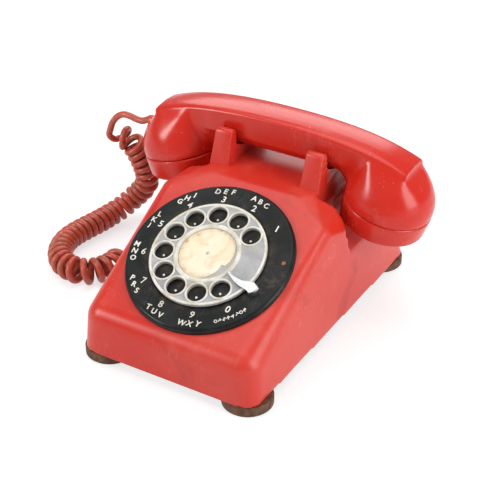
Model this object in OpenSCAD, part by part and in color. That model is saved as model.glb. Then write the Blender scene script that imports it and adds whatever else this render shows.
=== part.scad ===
// Desk telephone with a rotary dial, a lift-off handset and a coiled handset cord.
// Origin: middle of the footprint, on the surface the feet stand on. +X right, +Y back, +Z up.

/* [Base] */
// Depth of the housing at its lower edge, front to back
base_depth = 216; // [208:1:224]
// Width of the housing at its front lower edge
front_width = 129; // [125:1:133]
// Width of the housing at its rear lower edge
rear_width = 138; // [134:1:142]
// Height of the housing's lower edge above the table
foot_height = 7; // [6:0.5:9]
// Radius of each foot pad
foot_radius = 16.5; // [14:0.5:18]
// Thickness of the moulded housing wall
wall = 2.8; // [2.2:0.1:3.4]
// Thickness of the steel base plate
plate_thickness = 1.5; // [1:0.1:2]
// Vertical corner radius at the front
front_corner = 11; // [9:0.5:13]
// Vertical corner radius at the rear
rear_corner = 14; // [12:0.5:16]
// Radius of the brow where the front wall turns into the deck
brow_radius = 14; // [11:0.5:15]

/* [Deck] */
// Slope of the deck that carries the dial, in degrees
deck_tilt = 25.4; // [23:0.2:28]
// Distance of the dial centre in front of the middle of the base
dial_forward = 51.5; // [49:0.5:54]
// Height of the deck surface at the dial centre
deck_height = 65; // [63:0.5:67]
// Width of the deck between the rounded side crests
crest_width = 126; // [122:1:128]
// Radius of the side crests
crest_radius = 8; // [6:0.5:10]

/* [Cradle] */
// Distance of the cradle centre line behind the middle of the base
cradle_back = 44.75; // [43:0.25:46]
// Height of the flat top between the ears
cradle_deck = 91.5; // [90:0.5:93]
// Height of the ear tips
ear_height = 115.8; // [112:0.2:118]
// Distance from the middle plane to an ear's outer face
ear_outer = 41.2; // [40:0.2:42.4]
// Width of an ear, side to side
ear_width = 14.2; // [12:0.2:15]
// Length of the ears, front to back, at the deck
ear_length = 62.5; // [60:0.5:64]
// Height of the ledge beside the ears, under each cup
ledge_height = 77.5; // [76:0.5:79]

/* [Handset] */
// Height of the handle's top at its middle
handle_top = 126.5; // [124:0.5:129]
// Height of the handle's underside at its middle
handle_under = 98.2; // [97.8:0.1:99.4]
// Width of the handle, front to back
handle_width = 28; // [26:0.5:28]
// Distance from the middle plane to each cup centre at its seam
cup_reach = 78.2; // [77:0.2:80]
// Height of each cup centre at its seam
cup_height = 81.5; // [80.5:0.5:83]
// Inward tilt of the cups, in degrees
cup_tilt = 14; // [12:0.5:16]
// Radius of the cups at the seam
cup_radius = 30; // [29:0.25:30.5]
// Depth of the screw-on caps
cap_depth = 16; // [14:0.5:17]
// Wall of the caps
cap_wall = 2.6; // [2:0.1:3.2]

/* [Dial] */
// Radius of the number ring
ring_radius = 55.75; // [54:0.25:57]
// Height of the number ring above the deck
ring_proud = 3.75; // [3.2:0.05:4.4]
// Radius of the finger wheel
wheel_radius = 38.3; // [37:0.1:39]
// Thickness of the finger wheel
wheel_thickness = 2.2; // [1.8:0.1:2.6]
// Radius of the circle through the finger holes
hole_circle = 29.4; // [28.8:0.1:30]
// Radius of a finger hole
hole_radius = 6.3; // [6:0.05:6.6]
// Number of finger holes
hole_count = 10; // [8:1:10]
// Radius of the number card
card_radius = 18.9; // [17.5:0.1:19.5]
// Radius of the dial shaft
shaft_radius = 3; // [2.5:0.1:3.5]
// Module of the dial gears
gear_module = 1; // [0.9:0.05:1.05]
// Teeth on the main gear
main_teeth = 48; // [44:4:48]
// Teeth on the pulse pinion
pinion_teeth = 12; // [12:1:14]

/* [Hook switch] */
// Radius of a hook plunger
plunger_radius = 3.5; // [3:0.1:3.8]
// Gap around a plunger in its hole
slide_gap = 0.1; // [0.08:0.01:0.2]
// Distance of the lever pivot behind the plungers
lever_reach = 19.25; // [18:0.25:20]

/* [Ringer] */
// Radius of the large gong
large_gong_radius = 26; // [24:0.5:26]
// Radius of the small gong
small_gong_radius = 24.5; // [22:0.5:25]
// Height of a gong
gong_height = 13; // [11:0.5:14]
// Radius of the clapper ball
clapper_radius = 2.6; // [2:0.1:2.8]

/* [Cord] */
// Diameter of the cord's jacket
cord_diameter = 4.6; // [4.2:0.1:5]
// Outer diameter of the cord's coil
coil_diameter = 18; // [16:0.5:18]

/* [Hidden] */

$fn = 48;
hull_fn = 32;
sides = [-1, 1];
eps = 0.01;

// Base and deck
front_y = -base_depth / 2;
rear_y = base_depth / 2;
front_half = front_width / 2;
rear_half = rear_width / 2;
plate_z = foot_height + 0.5;
foot_top = foot_height - 0.1;
foot_neck = 8;
plate_gap = 0.9;
volume_at = [40, -10, plate_z];
volume_pin = 2;
plate_top = plate_z + plate_thickness;
dial_y = -dial_forward;
deck_slope = tan(deck_tilt);
tangent_drop = 1 / cos(deck_tilt);
brow_y = front_y + brow_radius;
crest_half = crest_width / 2;
crest_y = -8;
ear_radius = 4;
post_round = 3;
tip_round = 2.9;
deck_inner = cradle_deck - wall;
front_foot = [front_half - 13, front_y + 15.75];
rear_foot = [rear_half - 15, rear_y - 15.75];
boss_x = 26;
boss_front_y = front_y + 11;
boss_rear_y = rear_y - 16;
boss_radius = 4.5;
screw_radius = 1.6;
screw_bore = screw_radius + 0.1;
screw_top = plate_top + 15;

// Cradle and cup scoops
ear_front = cradle_back - ear_length / 2;
ear_rear = cradle_back + ear_length / 2;
handle_gap = 0.4;
post_back = cradle_back - handle_width / 2 - handle_gap;
saddle_z = handle_under - handle_gap;
saddle_flat = 4.5;
notch_z = saddle_z + 3.8;
plunger_x = ear_outer - ear_width / 2;
scoop_gap = 3.5;
scoop_radius = cup_radius + scoop_gap;
shoulder_x = crest_half - 1.4;
shoulder_z = 53;
rear_lean = atan2(rear_y - ear_rear - ear_radius, cradle_deck - ear_radius - foot_height - 1);
recess_radius = 20;
recess_z = 68;
recess_stand = 13.1;
recess_y = rear_at(recess_z) + recess_stand;
boss_top = recess_z - recess_radius - 2;
recess_half = 36;

// Hook switch
pivot_y = cradle_back + lever_reach;
pivot_z = 74;
pin_radius = 1.5;
running_gap = 0.08;
cheek_x = 20;
sheet = 1.5;
cheek_depth = 20;
cheek_front = pivot_y - 14;
lever_top = pivot_z - 0.4;
lever_bar = 7.5;
arm_x = cheek_x + sheet + 0.5;
shelf_z = 50;
spring_radius = 4;
spring_wire = 0.6;
leaf = 0.5;
leaf_pitch = 3;
leaf_count = 4;
stack_z = shelf_z + 2;
plunger_foot = lever_top + 0.3;
plunger_top = handle_under - 0.8;
collar_z = deck_inner - 9.5;

// Dial stack, heights measured from the deck
wheel_z = ring_proud + 0.3;
wheel_top = wheel_z + wheel_thickness;
well_floor = ring_proud - 0.6;
dial_opening = ring_radius - 5.75;
dial_sheet = 1.6;
dial_plate_radius = dial_opening - 1;
back_plate_z = -26;
back_plate_radius = 44;
main_radius = gear_module * main_teeth / 2;
pinion_radius = gear_module * pinion_teeth / 2;
pulse_x = -(main_radius + pinion_radius);
main_z = -8;
gear_thickness = 2;
drive_teeth = 36;
governor_teeth = 12;
drive_module = 0.5;
governor_y = -drive_module * (drive_teeth + governor_teeth) / 2;
drive_z = -20;
drum_z = -16;
cam_reach = 4.6;
rim_height = 0.8;
rim_width = 1.3;
hub_radius = card_radius + 3.3;
hub_top = wheel_top + 0.9;
card_seat = wheel_top - 0.5;
card_thickness = 0.4;
window_thickness = 0.7;
pip_radius = 1.2;
first_hole = 45;
hole_step = 30;
pillar_at = [30, 150, 270];
pillar_radius = 38;

// Ringer
gong_x = 30;
gong_y = 18;
ringer_z = plate_top + 5;
ringer_top = ringer_z + sheet;
gong_rim = ringer_top + 17.5;
gong_top = gong_rim + gong_height;
gong_wall = 1.6;
clapper_y = 31;
coil_y = 46;
coil_z = ringer_top + 8.5;
core_size = 5;
pole_x = 17;

// Handle and cups of the handset
handle_end = 93;
arch_start = ear_outer + 2;
cap_floor = -cap_depth + 3.2;
unit_top = -4;

// Cord route: round numbers chosen along the way the cord lies
cord_radius = cord_diameter / 2;
coil_radius = coil_diameter / 2;
cord_exit = [-109.4, cradle_back, 93];
gland_y = 25;
gland_z = 16;
gland_seat = 0.43;
gland_at = [-wall_at(gland_y, gland_z) - gland_seat, gland_y, gland_z];
inlet_rise = 12;
lead_route = [[-109.8, 44.8, 93], [-112, 44.8, 93], [-115, 44.8, 91.5], [-121, 44.8, 89.5],
              [-129, 44.8, 90], [-136.5, 44.8, 88],
              [-141.5, 44.8, 82.5], [-143, 44.8, 76], [-141, 44.8, 70], [-136, 45, 67]];
coil_route = [[-133, 44, 80], [-129.3, 45.4, 72.8], [-126.3, 47.3, 65], [-123.6, 50.2, 56],
              [-122.2, 53.6, 47], [-122.2, 56.8, 38.5], [-123.6, 59.4, 30.5], [-126.6, 60.6, 23.5],
              [-130.6, 58.8, 17.3], [-135.1, 53.6, 12.6], [-138.2, 43.8, 10.2], [-140.9, 32.7, 9.2],
              [-142.9, 20.8, 9], [-145.3, 9.9, 9], [-147.4, -0.5, 9], [-147.6, -11.4, 9],
              [-144.6, -21.9, 9], [-138.7, -30.7, 9], [-131.5, -36.2, 9], [-124.1, -38, 9],
              [-116.5, -37.4, 9], [-109.6, -34.2, 9], [-106.2, -28, 9], [-106, -19, 9],
              [-106.5, -8, 9]];
tail_route = [[-106.5, -8, 9], [-106, -1, 6.5], [-104.5, 7, 3.2], [-100, 15, 2.4], [-94, 20.5, 2.4],
              [-87.5, 23.5, 5], [-81.5, 24.8, 10], [-76, 25, 14.4], [-70, 25, 16]];

// Height of the deck plane at a distance y from the middle of the base
function deck_at(y) = deck_height + (y - dial_y) * deck_slope;

// Half width of the housing's lower edge at y
function half_at(y) = front_half + (rear_half - front_half) * (y - front_y) / base_depth;

// Half width of the housing's side wall at y and height z
function wall_at(y, z) = half_at(y)
    + (shoulder_x + ear_radius - half_at(y)) * (z - foot_height - 1) / (shoulder_z - foot_height - 1);

// Distance of the rear wall behind the middle of the base at height z
function rear_at(z) = rear_y - (z - foot_height - 1) * tan(rear_lean);

// Height of the handle's top ridge at x: nearly flat in the middle, falling faster at the ends
function ridge_at(x) = handle_top - 7.3 * pow(x / handle_end, 2) - 6.5 * pow(x / handle_end, 4);

// Points on a circle arc in a plane
function arc(centre, r, from, to, n) =
    [for (i = [0:n]) centre + r * [cos(from + (to - from) * i / n), sin(from + (to - from) * i / n)]];

// Point at parameter t on the smooth curve through points p1 and p2
function spline(p0, p1, p2, p3, t) =
    0.5 * (2 * p1 + (p2 - p0) * t + (2 * p0 - 5 * p1 + 4 * p2 - p3) * t * t
           + (3 * p1 - p0 - 3 * p2 + p3) * t * t * t);

// A route with one extra point between each pair, on a smooth curve
function smooth(path) = let (n = len(path) - 1) [
    for (i = [0:n - 1]) let (p0 = path[max(i - 1, 0)], p3 = path[min(i + 2, n)])
        for (t = [0, 0.5]) spline(p0, path[i], path[i + 1], p3, t),
    path[n]];

function unit(v) = v / norm(v);

// Triangles of four-sided faces
function split(faces) = [for (f = faces) each [[f[0], f[1], f[2]], [f[0], f[2], f[3]]]];

// Ring of points around one station of a tube
function ring_at(path, i, r, n, guide) =
    let (last = len(path) - 1,
         along = unit(path[min(i + 1, last)] - path[max(i - 1, 0)]),
         side = unit(cross(along, guide)),
         up = cross(side, along))
    [for (k = [0:n - 1]) path[i] + r * (cos(360 * k / n) * side + sin(360 * k / n) * up)];

// Solid tube along a route
module tube(path, r, n, guide) {
    count = len(path);
    points = [for (i = [0:count - 1]) each ring_at(path, i, r, n, guide)];
    walls = [for (i = [0:count - 2], k = [0:n - 1])
        [i * n + k, i * n + (k + 1) % n, (i + 1) * n + (k + 1) % n, (i + 1) * n + k]];
    first = [for (k = [n - 1:-1:0]) k];
    last = [for (k = [0:n - 1]) (count - 1) * n + k];
    polyhedron(points, concat([first, last], split(walls)), convexity = 10);
}

// Outline of a spur gear with straight-flanked teeth
function gear_outline(teeth, m, tooth_share) = [
    for (i = [0:teeth - 1]) let (a = 360 * i / teeth, p = 360 / teeth * tooth_share,
                                 tip = m * (teeth / 2 + 0.8), root = m * (teeth / 2 - 1.1))
        each [for (q = [[root, -0.36], [tip, -0.14], [tip, 0.14], [root, 0.36]])
            q[0] * [cos(a + q[1] * p), sin(a + q[1] * p)]]];

// The space above the sloping deck, with z along the dial's axis
module on_deck() translate([0, dial_y, deck_height]) rotate([deck_tilt, 0, 0]) children();

// The space of one cup, with z along the cup's axis and z = 0 on the seam
module at_cup(side) translate([side * cup_reach, cradle_back, cup_height])
    rotate([0, side * cup_tilt, 0]) children();

// Block with rounded plan corners that follows the housing's footprint
module footprint(z, height, inset) hull() for (s = sides) {
    translate([s * (front_half - front_corner), front_y + front_corner, z])
        cylinder(r = front_corner - inset, h = height, $fn = hull_fn);
    translate([s * (rear_half - rear_corner), rear_y - rear_corner, z])
        cylinder(r = rear_corner - inset, h = height, $fn = hull_fn);
}

// A rounded point of the housing's form
module knuckle(x, y, z, r) translate([x, y, z]) sphere(r = r, $fn = hull_fn);

// Outer form of the housing, or with an inset the hollow inside it
module housing_form(inset) hull() for (s = sides) {
    translate([s * (front_half - front_corner), front_y + front_corner, foot_height - inset])
        cylinder(r = front_corner - inset, h = inset + 1, $fn = hull_fn);
    translate([s * (rear_half - rear_corner), rear_y - rear_corner, foot_height - inset])
        cylinder(r = rear_corner - inset, h = inset + 1, $fn = hull_fn);
    knuckle(s * (crest_half + 0.6 - brow_radius), brow_y,
            deck_at(brow_y) - brow_radius * tangent_drop, brow_radius - inset);
    knuckle(s * (crest_half - crest_radius), crest_y,
            deck_at(crest_y) - crest_radius * tangent_drop, crest_radius - inset);
    deck_start = dial_y + (cradle_deck - ear_radius - deck_height + ear_radius * tangent_drop) / deck_slope;
    knuckle(s * 33, deck_start, cradle_deck - ear_radius, ear_radius - inset);
    knuckle(s * (ear_outer - 2.7), ear_rear, cradle_deck - ear_radius, ear_radius - inset);
    knuckle(s * (ear_outer - 2.7), ear_front, min(cradle_deck - ear_radius,
            deck_at(ear_front) - ear_radius * tangent_drop), ear_radius - inset);
    for (y = [ear_front + 4, ear_rear - 4])
        knuckle(s * shoulder_x, y, shoulder_z, ear_radius - inset);
}

// Hollows beside the ears that take the cups of the resting handset
module cup_scoops(grow) for (s = sides) {
    at_cup(s) translate([0, 0, -cap_depth - scoop_gap - grow])
        cylinder(r = scoop_radius + grow, h = 90, $fn = 96);
    mirror([s < 0 ? 1 : 0, 0, 0]) intersection() {
        translate([-grow, rear_y, -grow]) rotate([90, 0, 0]) linear_extrude(base_depth)
            polygon([[ear_outer, ledge_height + 1], [ear_outer + 8.8, ledge_height - 0.5],
                     [crest_half + 3, shoulder_z - 1], [crest_half + 17, shoulder_z - 23],
                     [crest_half + 17, handle_top], [ear_outer, handle_top]]);
        linear_extrude(handle_top) polygon([
            [ear_outer - 5, ear_front - 1.9 - grow], [crest_half + 17, ear_front + 4.8 - grow],
            [crest_half + 17, ear_rear - 4.8 + grow], [ear_outer - 5, ear_rear + 1.9 + grow]]);
    }
}

// Finger recess in the rear wall under the cradle, used to carry the telephone
module hand_recess(grow) translate([-recess_half - grow, recess_y, recess_z]) rotate([0, 90, 0])
    cylinder(r = recess_radius + grow, h = 2 * (recess_half + grow), $fn = 96);

// One upright post of an ear
module ear_post(x, front) mirror([0, front ? 0 : 1, 0])
    translate([0, front ? 0 : -2 * cradle_back, 0])
    hull() for (dx = [-1, 1] * (ear_width / 2 - post_round)) {
        knuckle(x + dx, ear_front + 4, cradle_deck - post_round, post_round);
        knuckle(x + dx, post_back - post_round, cradle_deck - post_round, post_round);
        knuckle(x + dx, ear_front + 10.5, ear_height - 5, post_round);
        knuckle(x + dx, post_back - tip_round, ear_height - tip_round, tip_round);
    }

// Saddle between the two posts of an ear
module ear_saddle(x) translate([x - ear_width / 2, 0, 0]) rotate([90, 0, 90]) linear_extrude(ear_width)
    polygon([[ear_front + 6, cradle_deck - 3], [post_back - 2, notch_z + 2], [post_back, notch_z],
             [cradle_back - saddle_flat, saddle_z], [cradle_back + saddle_flat, saddle_z],
             [2 * cradle_back - post_back, notch_z], [2 * cradle_back - post_back + 2, notch_z + 2],
             [ear_rear - 6, cradle_deck - 3]]);

// Places of the four screw bosses
module at_bosses() for (s = sides, y = [boss_front_y, boss_rear_y]) translate([s * boss_x, y, 0]) children();

// Wall axis of the line cord's inlet
module at_inlet() translate([0, rear_at(foot_height + inlet_rise), foot_height + inlet_rise])
    rotate([rear_lean - 90, 0, 0]) children();

module housing() color("firebrick") difference() {
    union() {
        difference() {
            difference() { housing_form(0); cup_scoops(0); hand_recess(0); }
            difference() { housing_form(wall); cup_scoops(wall); hand_recess(wall); }
        }
        for (s = sides) {
            ear_saddle(s * plunger_x);
            ear_post(s * plunger_x, true);
            ear_post(s * plunger_x, false);
        }
        intersection() {
            housing_form(1);
            at_bosses() translate([0, 0, plate_top]) cylinder(r = boss_radius, h = boss_top - plate_top);
        }
    }
    on_deck() translate([0, 0, -12]) cylinder(r = dial_opening, h = 30, $fn = 96);
    at_bosses() translate([0, 0, plate_z]) cylinder(r = screw_bore, h = screw_top - plate_z + 1);
    for (s = sides) translate([s * plunger_x, cradle_back, deck_inner - 4])
        cylinder(r = plunger_radius + slide_gap, h = 30);
    translate(gland_at) rotate([0, 90, 0]) cylinder(r = cord_radius + 2.6, h = 16, center = true);
    at_inlet() cylinder(r = cord_radius + 2.6, h = 16, center = true);
}

module base_plate() color("silver") difference() {
    union() {
        footprint(plate_z, plate_thickness, wall + plate_gap);
        translate(volume_at - [0, 0, 5]) cylinder(r = volume_pin, h = 5 + eps);
        translate(volume_at - [0, 0, 6.2]) cylinder(r = volume_pin + 2, h = 1.2 + eps);
    }
    at_bosses() translate([0, 0, plate_z - 1]) cylinder(r = screw_radius + 0.2, h = plate_thickness + 2);
    for (x = [-36:12:24]) translate([x - 1.5, -8, plate_z - 1]) cube([3, 44, plate_thickness + 2]);
}

module at_feet() for (s = sides, p = [front_foot, rear_foot]) translate([s * p[0], p[1], 0]) children();

module feet() color("saddlebrown") at_feet() rotate_extrude()
    polygon([[0, 0], [foot_radius - 0.8, 0], [foot_radius, 0.8], [foot_radius, foot_top - 1],
             [foot_radius - 1, foot_top], [foot_neck, foot_top], [foot_neck, plate_z], [0, plate_z]]);

module housing_screws() color("dimgray") at_bosses() {
    translate([0, 0, plate_z - 1.8]) cylinder(r = 3.4, h = 1.8);
    translate([0, 0, plate_z - eps]) cylinder(r = screw_radius, h = screw_top - plate_z);
}

// Moulded bush with a flange on each side of a wall
module bush(length) rotate_extrude()
    polygon([[cord_radius + 0.15, -length / 2 - 1.5], [cord_radius + 4, -length / 2 - 1.5],
             [cord_radius + 4, -length / 2], [cord_radius + 2.4, -length / 2],
             [cord_radius + 2.4, length / 2], [cord_radius + 4, length / 2],
             [cord_radius + 3, length / 2 + 1.5], [cord_radius + 0.15, length / 2 + 1.5]]);

module handset_cord_gland() color("maroon") translate([wall / 2 + 0.15, 0, 0]) translate(gland_at)
    rotate([0, -90, 0]) bush(wall + 1.2);

module line_cord_inlet() color("maroon") at_inlet() translate([0, 0, -wall / 2]) bush(wall + 0.8);

module plunger() {
    translate([0, 0, plunger_foot + 2]) cylinder(r = plunger_radius, h = plunger_top - plunger_foot - 3);
    translate([0, 0, plunger_top - 1 - eps]) cylinder(r1 = plunger_radius, r2 = plunger_radius - 1, h = 1);
    translate([0, 0, collar_z]) cylinder(r = plunger_radius + 0.5, h = 2);
    translate([0, 0, plunger_foot]) cylinder(r = 1.2, h = 2 + eps);
}

module left_plunger() color("ivory") translate([-plunger_x, cradle_back, 0]) plunger();

module right_plunger() color("ivory") translate([plunger_x, cradle_back, 0]) plunger();

module hook_bracket() color("lightsteelblue") difference() {
    union() {
        for (x = [cheek_x, -cheek_x - sheet]) translate([x, cheek_front, plate_top])
            cube([sheet, cheek_depth, pivot_z + 5 - plate_top]);
        translate([-cheek_x - sheet, cheek_front + cheek_depth - sheet, plate_top])
            cube([2 * (cheek_x + sheet), sheet, shelf_z + 20 - plate_top]);
        translate([-cheek_x - sheet - 6, cheek_front, plate_top])
            cube([2 * (cheek_x + sheet + 6), cheek_depth, sheet]);
        translate([-cheek_x - sheet, cradle_back - 5, shelf_z])
            cube([2 * (cheek_x + sheet), cheek_front - cradle_back + 7, sheet]);
    }
    translate([-cheek_x - 10, pivot_y, pivot_z]) rotate([0, 90, 0])
        cylinder(r = pin_radius + 0.02, h = 2 * cheek_x + 20);
}

module hook_pin() color("silver") translate([-arm_x - 2.5, pivot_y, pivot_z]) rotate([0, 90, 0])
    cylinder(r = pin_radius, h = 2 * arm_x + 5);

module hook_lever() color("gainsboro") difference() {
    union() {
        translate([-plunger_x - 4, cradle_back - lever_bar / 2, lever_top - sheet])
            cube([2 * plunger_x + 8, lever_bar, sheet]);
        for (x = [arm_x, -arm_x - sheet]) translate([x, cradle_back - lever_bar / 2, lever_top - sheet])
            cube([sheet, lever_reach + lever_bar / 2 + 3.5, 4.5]);
        translate([-3, cradle_back, lever_top - sheet]) cube([6, 12, sheet]);
        translate([0, cradle_back + 9.5, stack_z + leaf_pitch * leaf_count + 0.3])
            cylinder(r = 1.2, h = lever_top - sheet - stack_z - leaf_pitch * leaf_count - 0.3 + eps);
    }
    translate([-arm_x - 5, pivot_y, pivot_z]) rotate([0, 90, 0])
        cylinder(r = pin_radius + running_gap, h = 2 * arm_x + 10);
}

// Close-wound return spring of the hook lever
module hook_spring() color("gray") translate([0, cradle_back, shelf_z + sheet]) {
    height = lever_top - 2 * sheet - shelf_z - 0.3;
    turns = 12;
    pitch = (height - 2 * spring_wire) / turns;
    rotate_extrude() union() {
        translate([spring_radius - 0.35, 0]) square([0.7, height]);
        for (i = [0:turns]) translate([spring_radius, spring_wire + i * pitch])
            circle(r = spring_wire, $fn = 16);
    }
}

module switch_springs() color("goldenrod") for (i = [0:leaf_count - 1])
    translate([-5, cheek_front + 1, stack_z + leaf_pitch * (i + 1) - leaf])
        cube([10, cheek_depth - sheet - 1, leaf]);

module switch_insulators() color("saddlebrown") for (i = [0:leaf_count])
    translate([-7, cheek_front + cheek_depth - sheet - 8, stack_z + leaf_pitch * i])
        cube([14, 8, leaf_pitch - leaf]);

module number_ring() color([0.13, 0.14, 0.14]) on_deck() rotate_extrude($fn = 96)
    polygon(concat([[wheel_radius + 0.6, well_floor], [wheel_radius + 0.6, ring_proud]],
                   arc([ring_radius - 3, ring_proud - 3], 3, 90, 0, 8),
                   [[ring_radius, 0], [12, 0], [12, well_floor]]));

module dial_plate() color("darkgray") on_deck() difference() {
    translate([0, 0, -dial_sheet]) cylinder(r = dial_plate_radius, h = dial_sheet, $fn = 96);
    translate([0, 0, -dial_sheet - 1]) cylinder(r = shaft_radius + running_gap, h = dial_sheet + 2);
    translate([pulse_x, 0, -dial_sheet - 1]) cylinder(r = 1.5 + running_gap, h = dial_sheet + 2);
    translate([pulse_x, governor_y, -dial_sheet - 1]) cylinder(r = 1 + running_gap, h = dial_sheet + 2);
}

module at_pillars() for (a = pillar_at) rotate([0, 0, a]) translate([pillar_radius, 0, 0]) children();

module dial_back_plate() color("darkgray") on_deck() difference() {
    union() {
        translate([0, 0, back_plate_z]) cylinder(r = back_plate_radius, h = dial_sheet, $fn = 96);
        at_pillars() translate([0, 0, back_plate_z]) cylinder(r = 3, h = -back_plate_z - dial_sheet);
    }
    at_pillars() translate([0, 0, back_plate_z - 1]) cylinder(r = 1.1, h = 12);
    translate([0, 0, back_plate_z - 1]) cylinder(r = shaft_radius + running_gap, h = dial_sheet + 2);
    translate([pulse_x, 0, back_plate_z - 1]) cylinder(r = 1.5 + running_gap, h = dial_sheet + 2);
    translate([pulse_x, governor_y, back_plate_z - 1]) cylinder(r = 1 + running_gap, h = dial_sheet + 2);
}

module dial_screws() color("dimgray") on_deck() at_pillars() {
    translate([0, 0, back_plate_z - 1.4]) cylinder(r = 2.2, h = 1.4);
    translate([0, 0, back_plate_z - eps]) cylinder(r = 1, h = 9);
}

// Curved blade that ends a finger's travel, on a foot that stands on the number ring
module finger_stop() color("silver") on_deck() {
    blade_z = wheel_top + rim_height + 0.35;
    translate([0, 0, blade_z]) linear_extrude(1.2)
        polygon([[20.5, -8.6], [26, -10.5], [31.5, -11.3], [37, -10.4], [41, -10.4], [44.2, -12.6],
                 [44, -16.5], [40.5, -18.4], [37, -16.8], [32, -15.6], [27, -13.9], [22.5, -11.2]]);
    translate([0, 0, ring_proud]) linear_extrude(blade_z - ring_proud + eps)
        polygon([[40.4, -10.6], [44, -12.7], [43.8, -16.3], [40.4, -18.2]]);
}

module at_holes() for (i = [0:hole_count - 1]) rotate([0, 0, first_hole + hole_step * i])
    translate([hole_circle, 0, 0]) children();

module finger_wheel() color([0.78, 0.76, 0.72, 0.6]) on_deck() difference() {
    union() {
        rotate_extrude($fn = 96) polygon([
            [shaft_radius + eps, wheel_z], [wheel_radius, wheel_z],
            [wheel_radius, wheel_top - 0.3], [wheel_radius - 0.5, wheel_top],
            [hub_radius, wheel_top], [hub_radius - 0.4, hub_top], [card_radius + 0.3, hub_top],
            [card_radius + 0.3, card_seat], [shaft_radius + eps, card_seat]]);
        at_holes() translate([0, 0, wheel_top - eps]) cylinder(r = hole_radius + rim_width, h = rim_height);
    }
    at_holes() translate([0, 0, wheel_z - 1]) cylinder(r = hole_radius, h = wheel_thickness + 4);
}

// Flat ring lying on the finger wheel
module washer(z, outer, inner, thickness) on_deck() translate([0, 0, z]) difference() {
    cylinder(r = outer, h = thickness, $fn = 96);
    translate([0, 0, -1]) cylinder(r = inner, h = thickness + 2);
}

module number_card() color("blanchedalmond") washer(card_seat, card_radius, pip_radius, card_thickness);

module card_window() color([0.95, 0.95, 0.95, 0.3])
    washer(card_seat + card_thickness, card_radius, pip_radius, window_thickness);

module card_retainer() color([0.8, 0.78, 0.74, 0.7])
    washer(hub_top, hub_radius - 0.6, card_radius - 0.8, 0.5);

module dial_shaft() color("silver") on_deck() {
    translate([0, 0, back_plate_z - 1.5]) cylinder(r = shaft_radius, h = card_seat - back_plate_z + 1.5);
    translate([0, 0, -dial_sheet - 2.3]) cylinder(r = shaft_radius + 3, h = 2);
}

module main_gear() color("khaki") on_deck() translate([0, 0, main_z]) difference() {
    linear_extrude(gear_thickness) polygon(gear_outline(main_teeth, gear_module, 1));
    translate([0, 0, -1]) cylinder(r = shaft_radius + eps, h = gear_thickness + 2);
    for (i = [0:4]) rotate([0, 0, 72 * i]) translate([main_radius * 0.58, 0, -1])
        cylinder(r = 5, h = gear_thickness + 2);
}

// Spiral return spring in its open cup, held on the back plate
module return_spring() color("slategray") on_deck() {
    turns = 3;
    first = shaft_radius + 1.6;
    pitch = 2.6;
    steps = 24 * turns;
    outer = [for (i = [0:steps]) (first + 0.7 + pitch * i / 24) * [cos(15 * i), sin(15 * i)]];
    inner = [for (i = [steps:-1:0]) (first + pitch * i / 24) * [cos(15 * i), sin(15 * i)]];
    translate([0, 0, main_z - 7]) linear_extrude(5) polygon(concat(outer, inner));
    translate([first + pitch * turns + 0.35, 0, back_plate_z + dial_sheet])
        cylinder(r = 1, h = main_z - 2 - back_plate_z - dial_sheet);
}

// Pinion, cam and drive gear on one arbor
module pulse_shaft() color("burlywood") on_deck() translate([pulse_x, 0, 0]) {
    translate([0, 0, back_plate_z - 1]) cylinder(r = 1.5, h = -back_plate_z + 1);
    translate([0, 0, main_z - 0.3]) linear_extrude(gear_thickness + 0.6)
        rotate([0, 0, 180 / pinion_teeth]) polygon(gear_outline(pinion_teeth, gear_module, 0.8));
    translate([0, 0, main_z - 5.5]) linear_extrude(3) {
        circle(r = cam_reach - 1);
        for (i = [0:2]) rotate([0, 0, 120 * i + 60]) translate([cam_reach - 2, 0]) circle(r = 2);
    }
    translate([0, 0, drive_z]) linear_extrude(1.5) polygon(gear_outline(drive_teeth, drive_module, 1));
}

// Speed governor: small pinion, arbor and friction drum
module governor() color("tan") on_deck() translate([pulse_x, governor_y, 0]) {
    translate([0, 0, back_plate_z - 0.8]) cylinder(r = 1, h = -back_plate_z + 0.8);
    translate([0, 0, drive_z - 0.2]) linear_extrude(1.9) rotate([0, 0, 90 + 180 / governor_teeth])
        polygon(gear_outline(governor_teeth, drive_module, 0.8));
    translate([0, 0, drum_z]) difference() {
        cylinder(r = 6.3, h = 5);
        translate([0, 0, 1]) cylinder(r = 5.2, h = 5);
        translate([-7, -0.6, 1]) cube([14, 1.2, 5]);
    }
    translate([0, 0, drum_z]) cylinder(r = 2.2, h = 5);
}

// Pair of pulse springs beside the cam, on a block under the dial plate
module pulse_contacts() color("goldenrod") on_deck() {
    leaf_y = cam_reach + 1;
    for (i = [0:1]) translate([pulse_x - 10, leaf_y + 1.6 * i, main_z - 5]) cube([15, leaf, 2]);
    translate([pulse_x - 14, leaf_y - 1, main_z - 6]) cube([5, 4.5, 6 - main_z - dial_sheet]);
}

// Two sheet cheeks that carry the dial on the base plate
module dial_bracket() color("darkgray") for (s = sides) {
    foot_front = dial_y - 18;
    foot_back = dial_y + 21;
    low = [for (v = [12, -12]) [dial_y + v * cos(deck_tilt) + dial_sheet * sin(deck_tilt),
                                deck_height + v * sin(deck_tilt) - dial_sheet * cos(deck_tilt)]];
    translate([s > 0 ? dial_plate_radius - 2.5 : -dial_plate_radius + 1, 0, 0]) rotate([90, 0, 90])
        linear_extrude(sheet) polygon([[foot_front, plate_top], [foot_back, plate_top], low[0], low[1]]);
    translate([s > 0 ? dial_plate_radius - 9 : -dial_plate_radius + 1, foot_front, plate_top])
        cube([8, foot_back - foot_front, sheet]);
}

module at_gongs() for (s = sides) translate([s * gong_x, gong_y, 0]) children();

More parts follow.
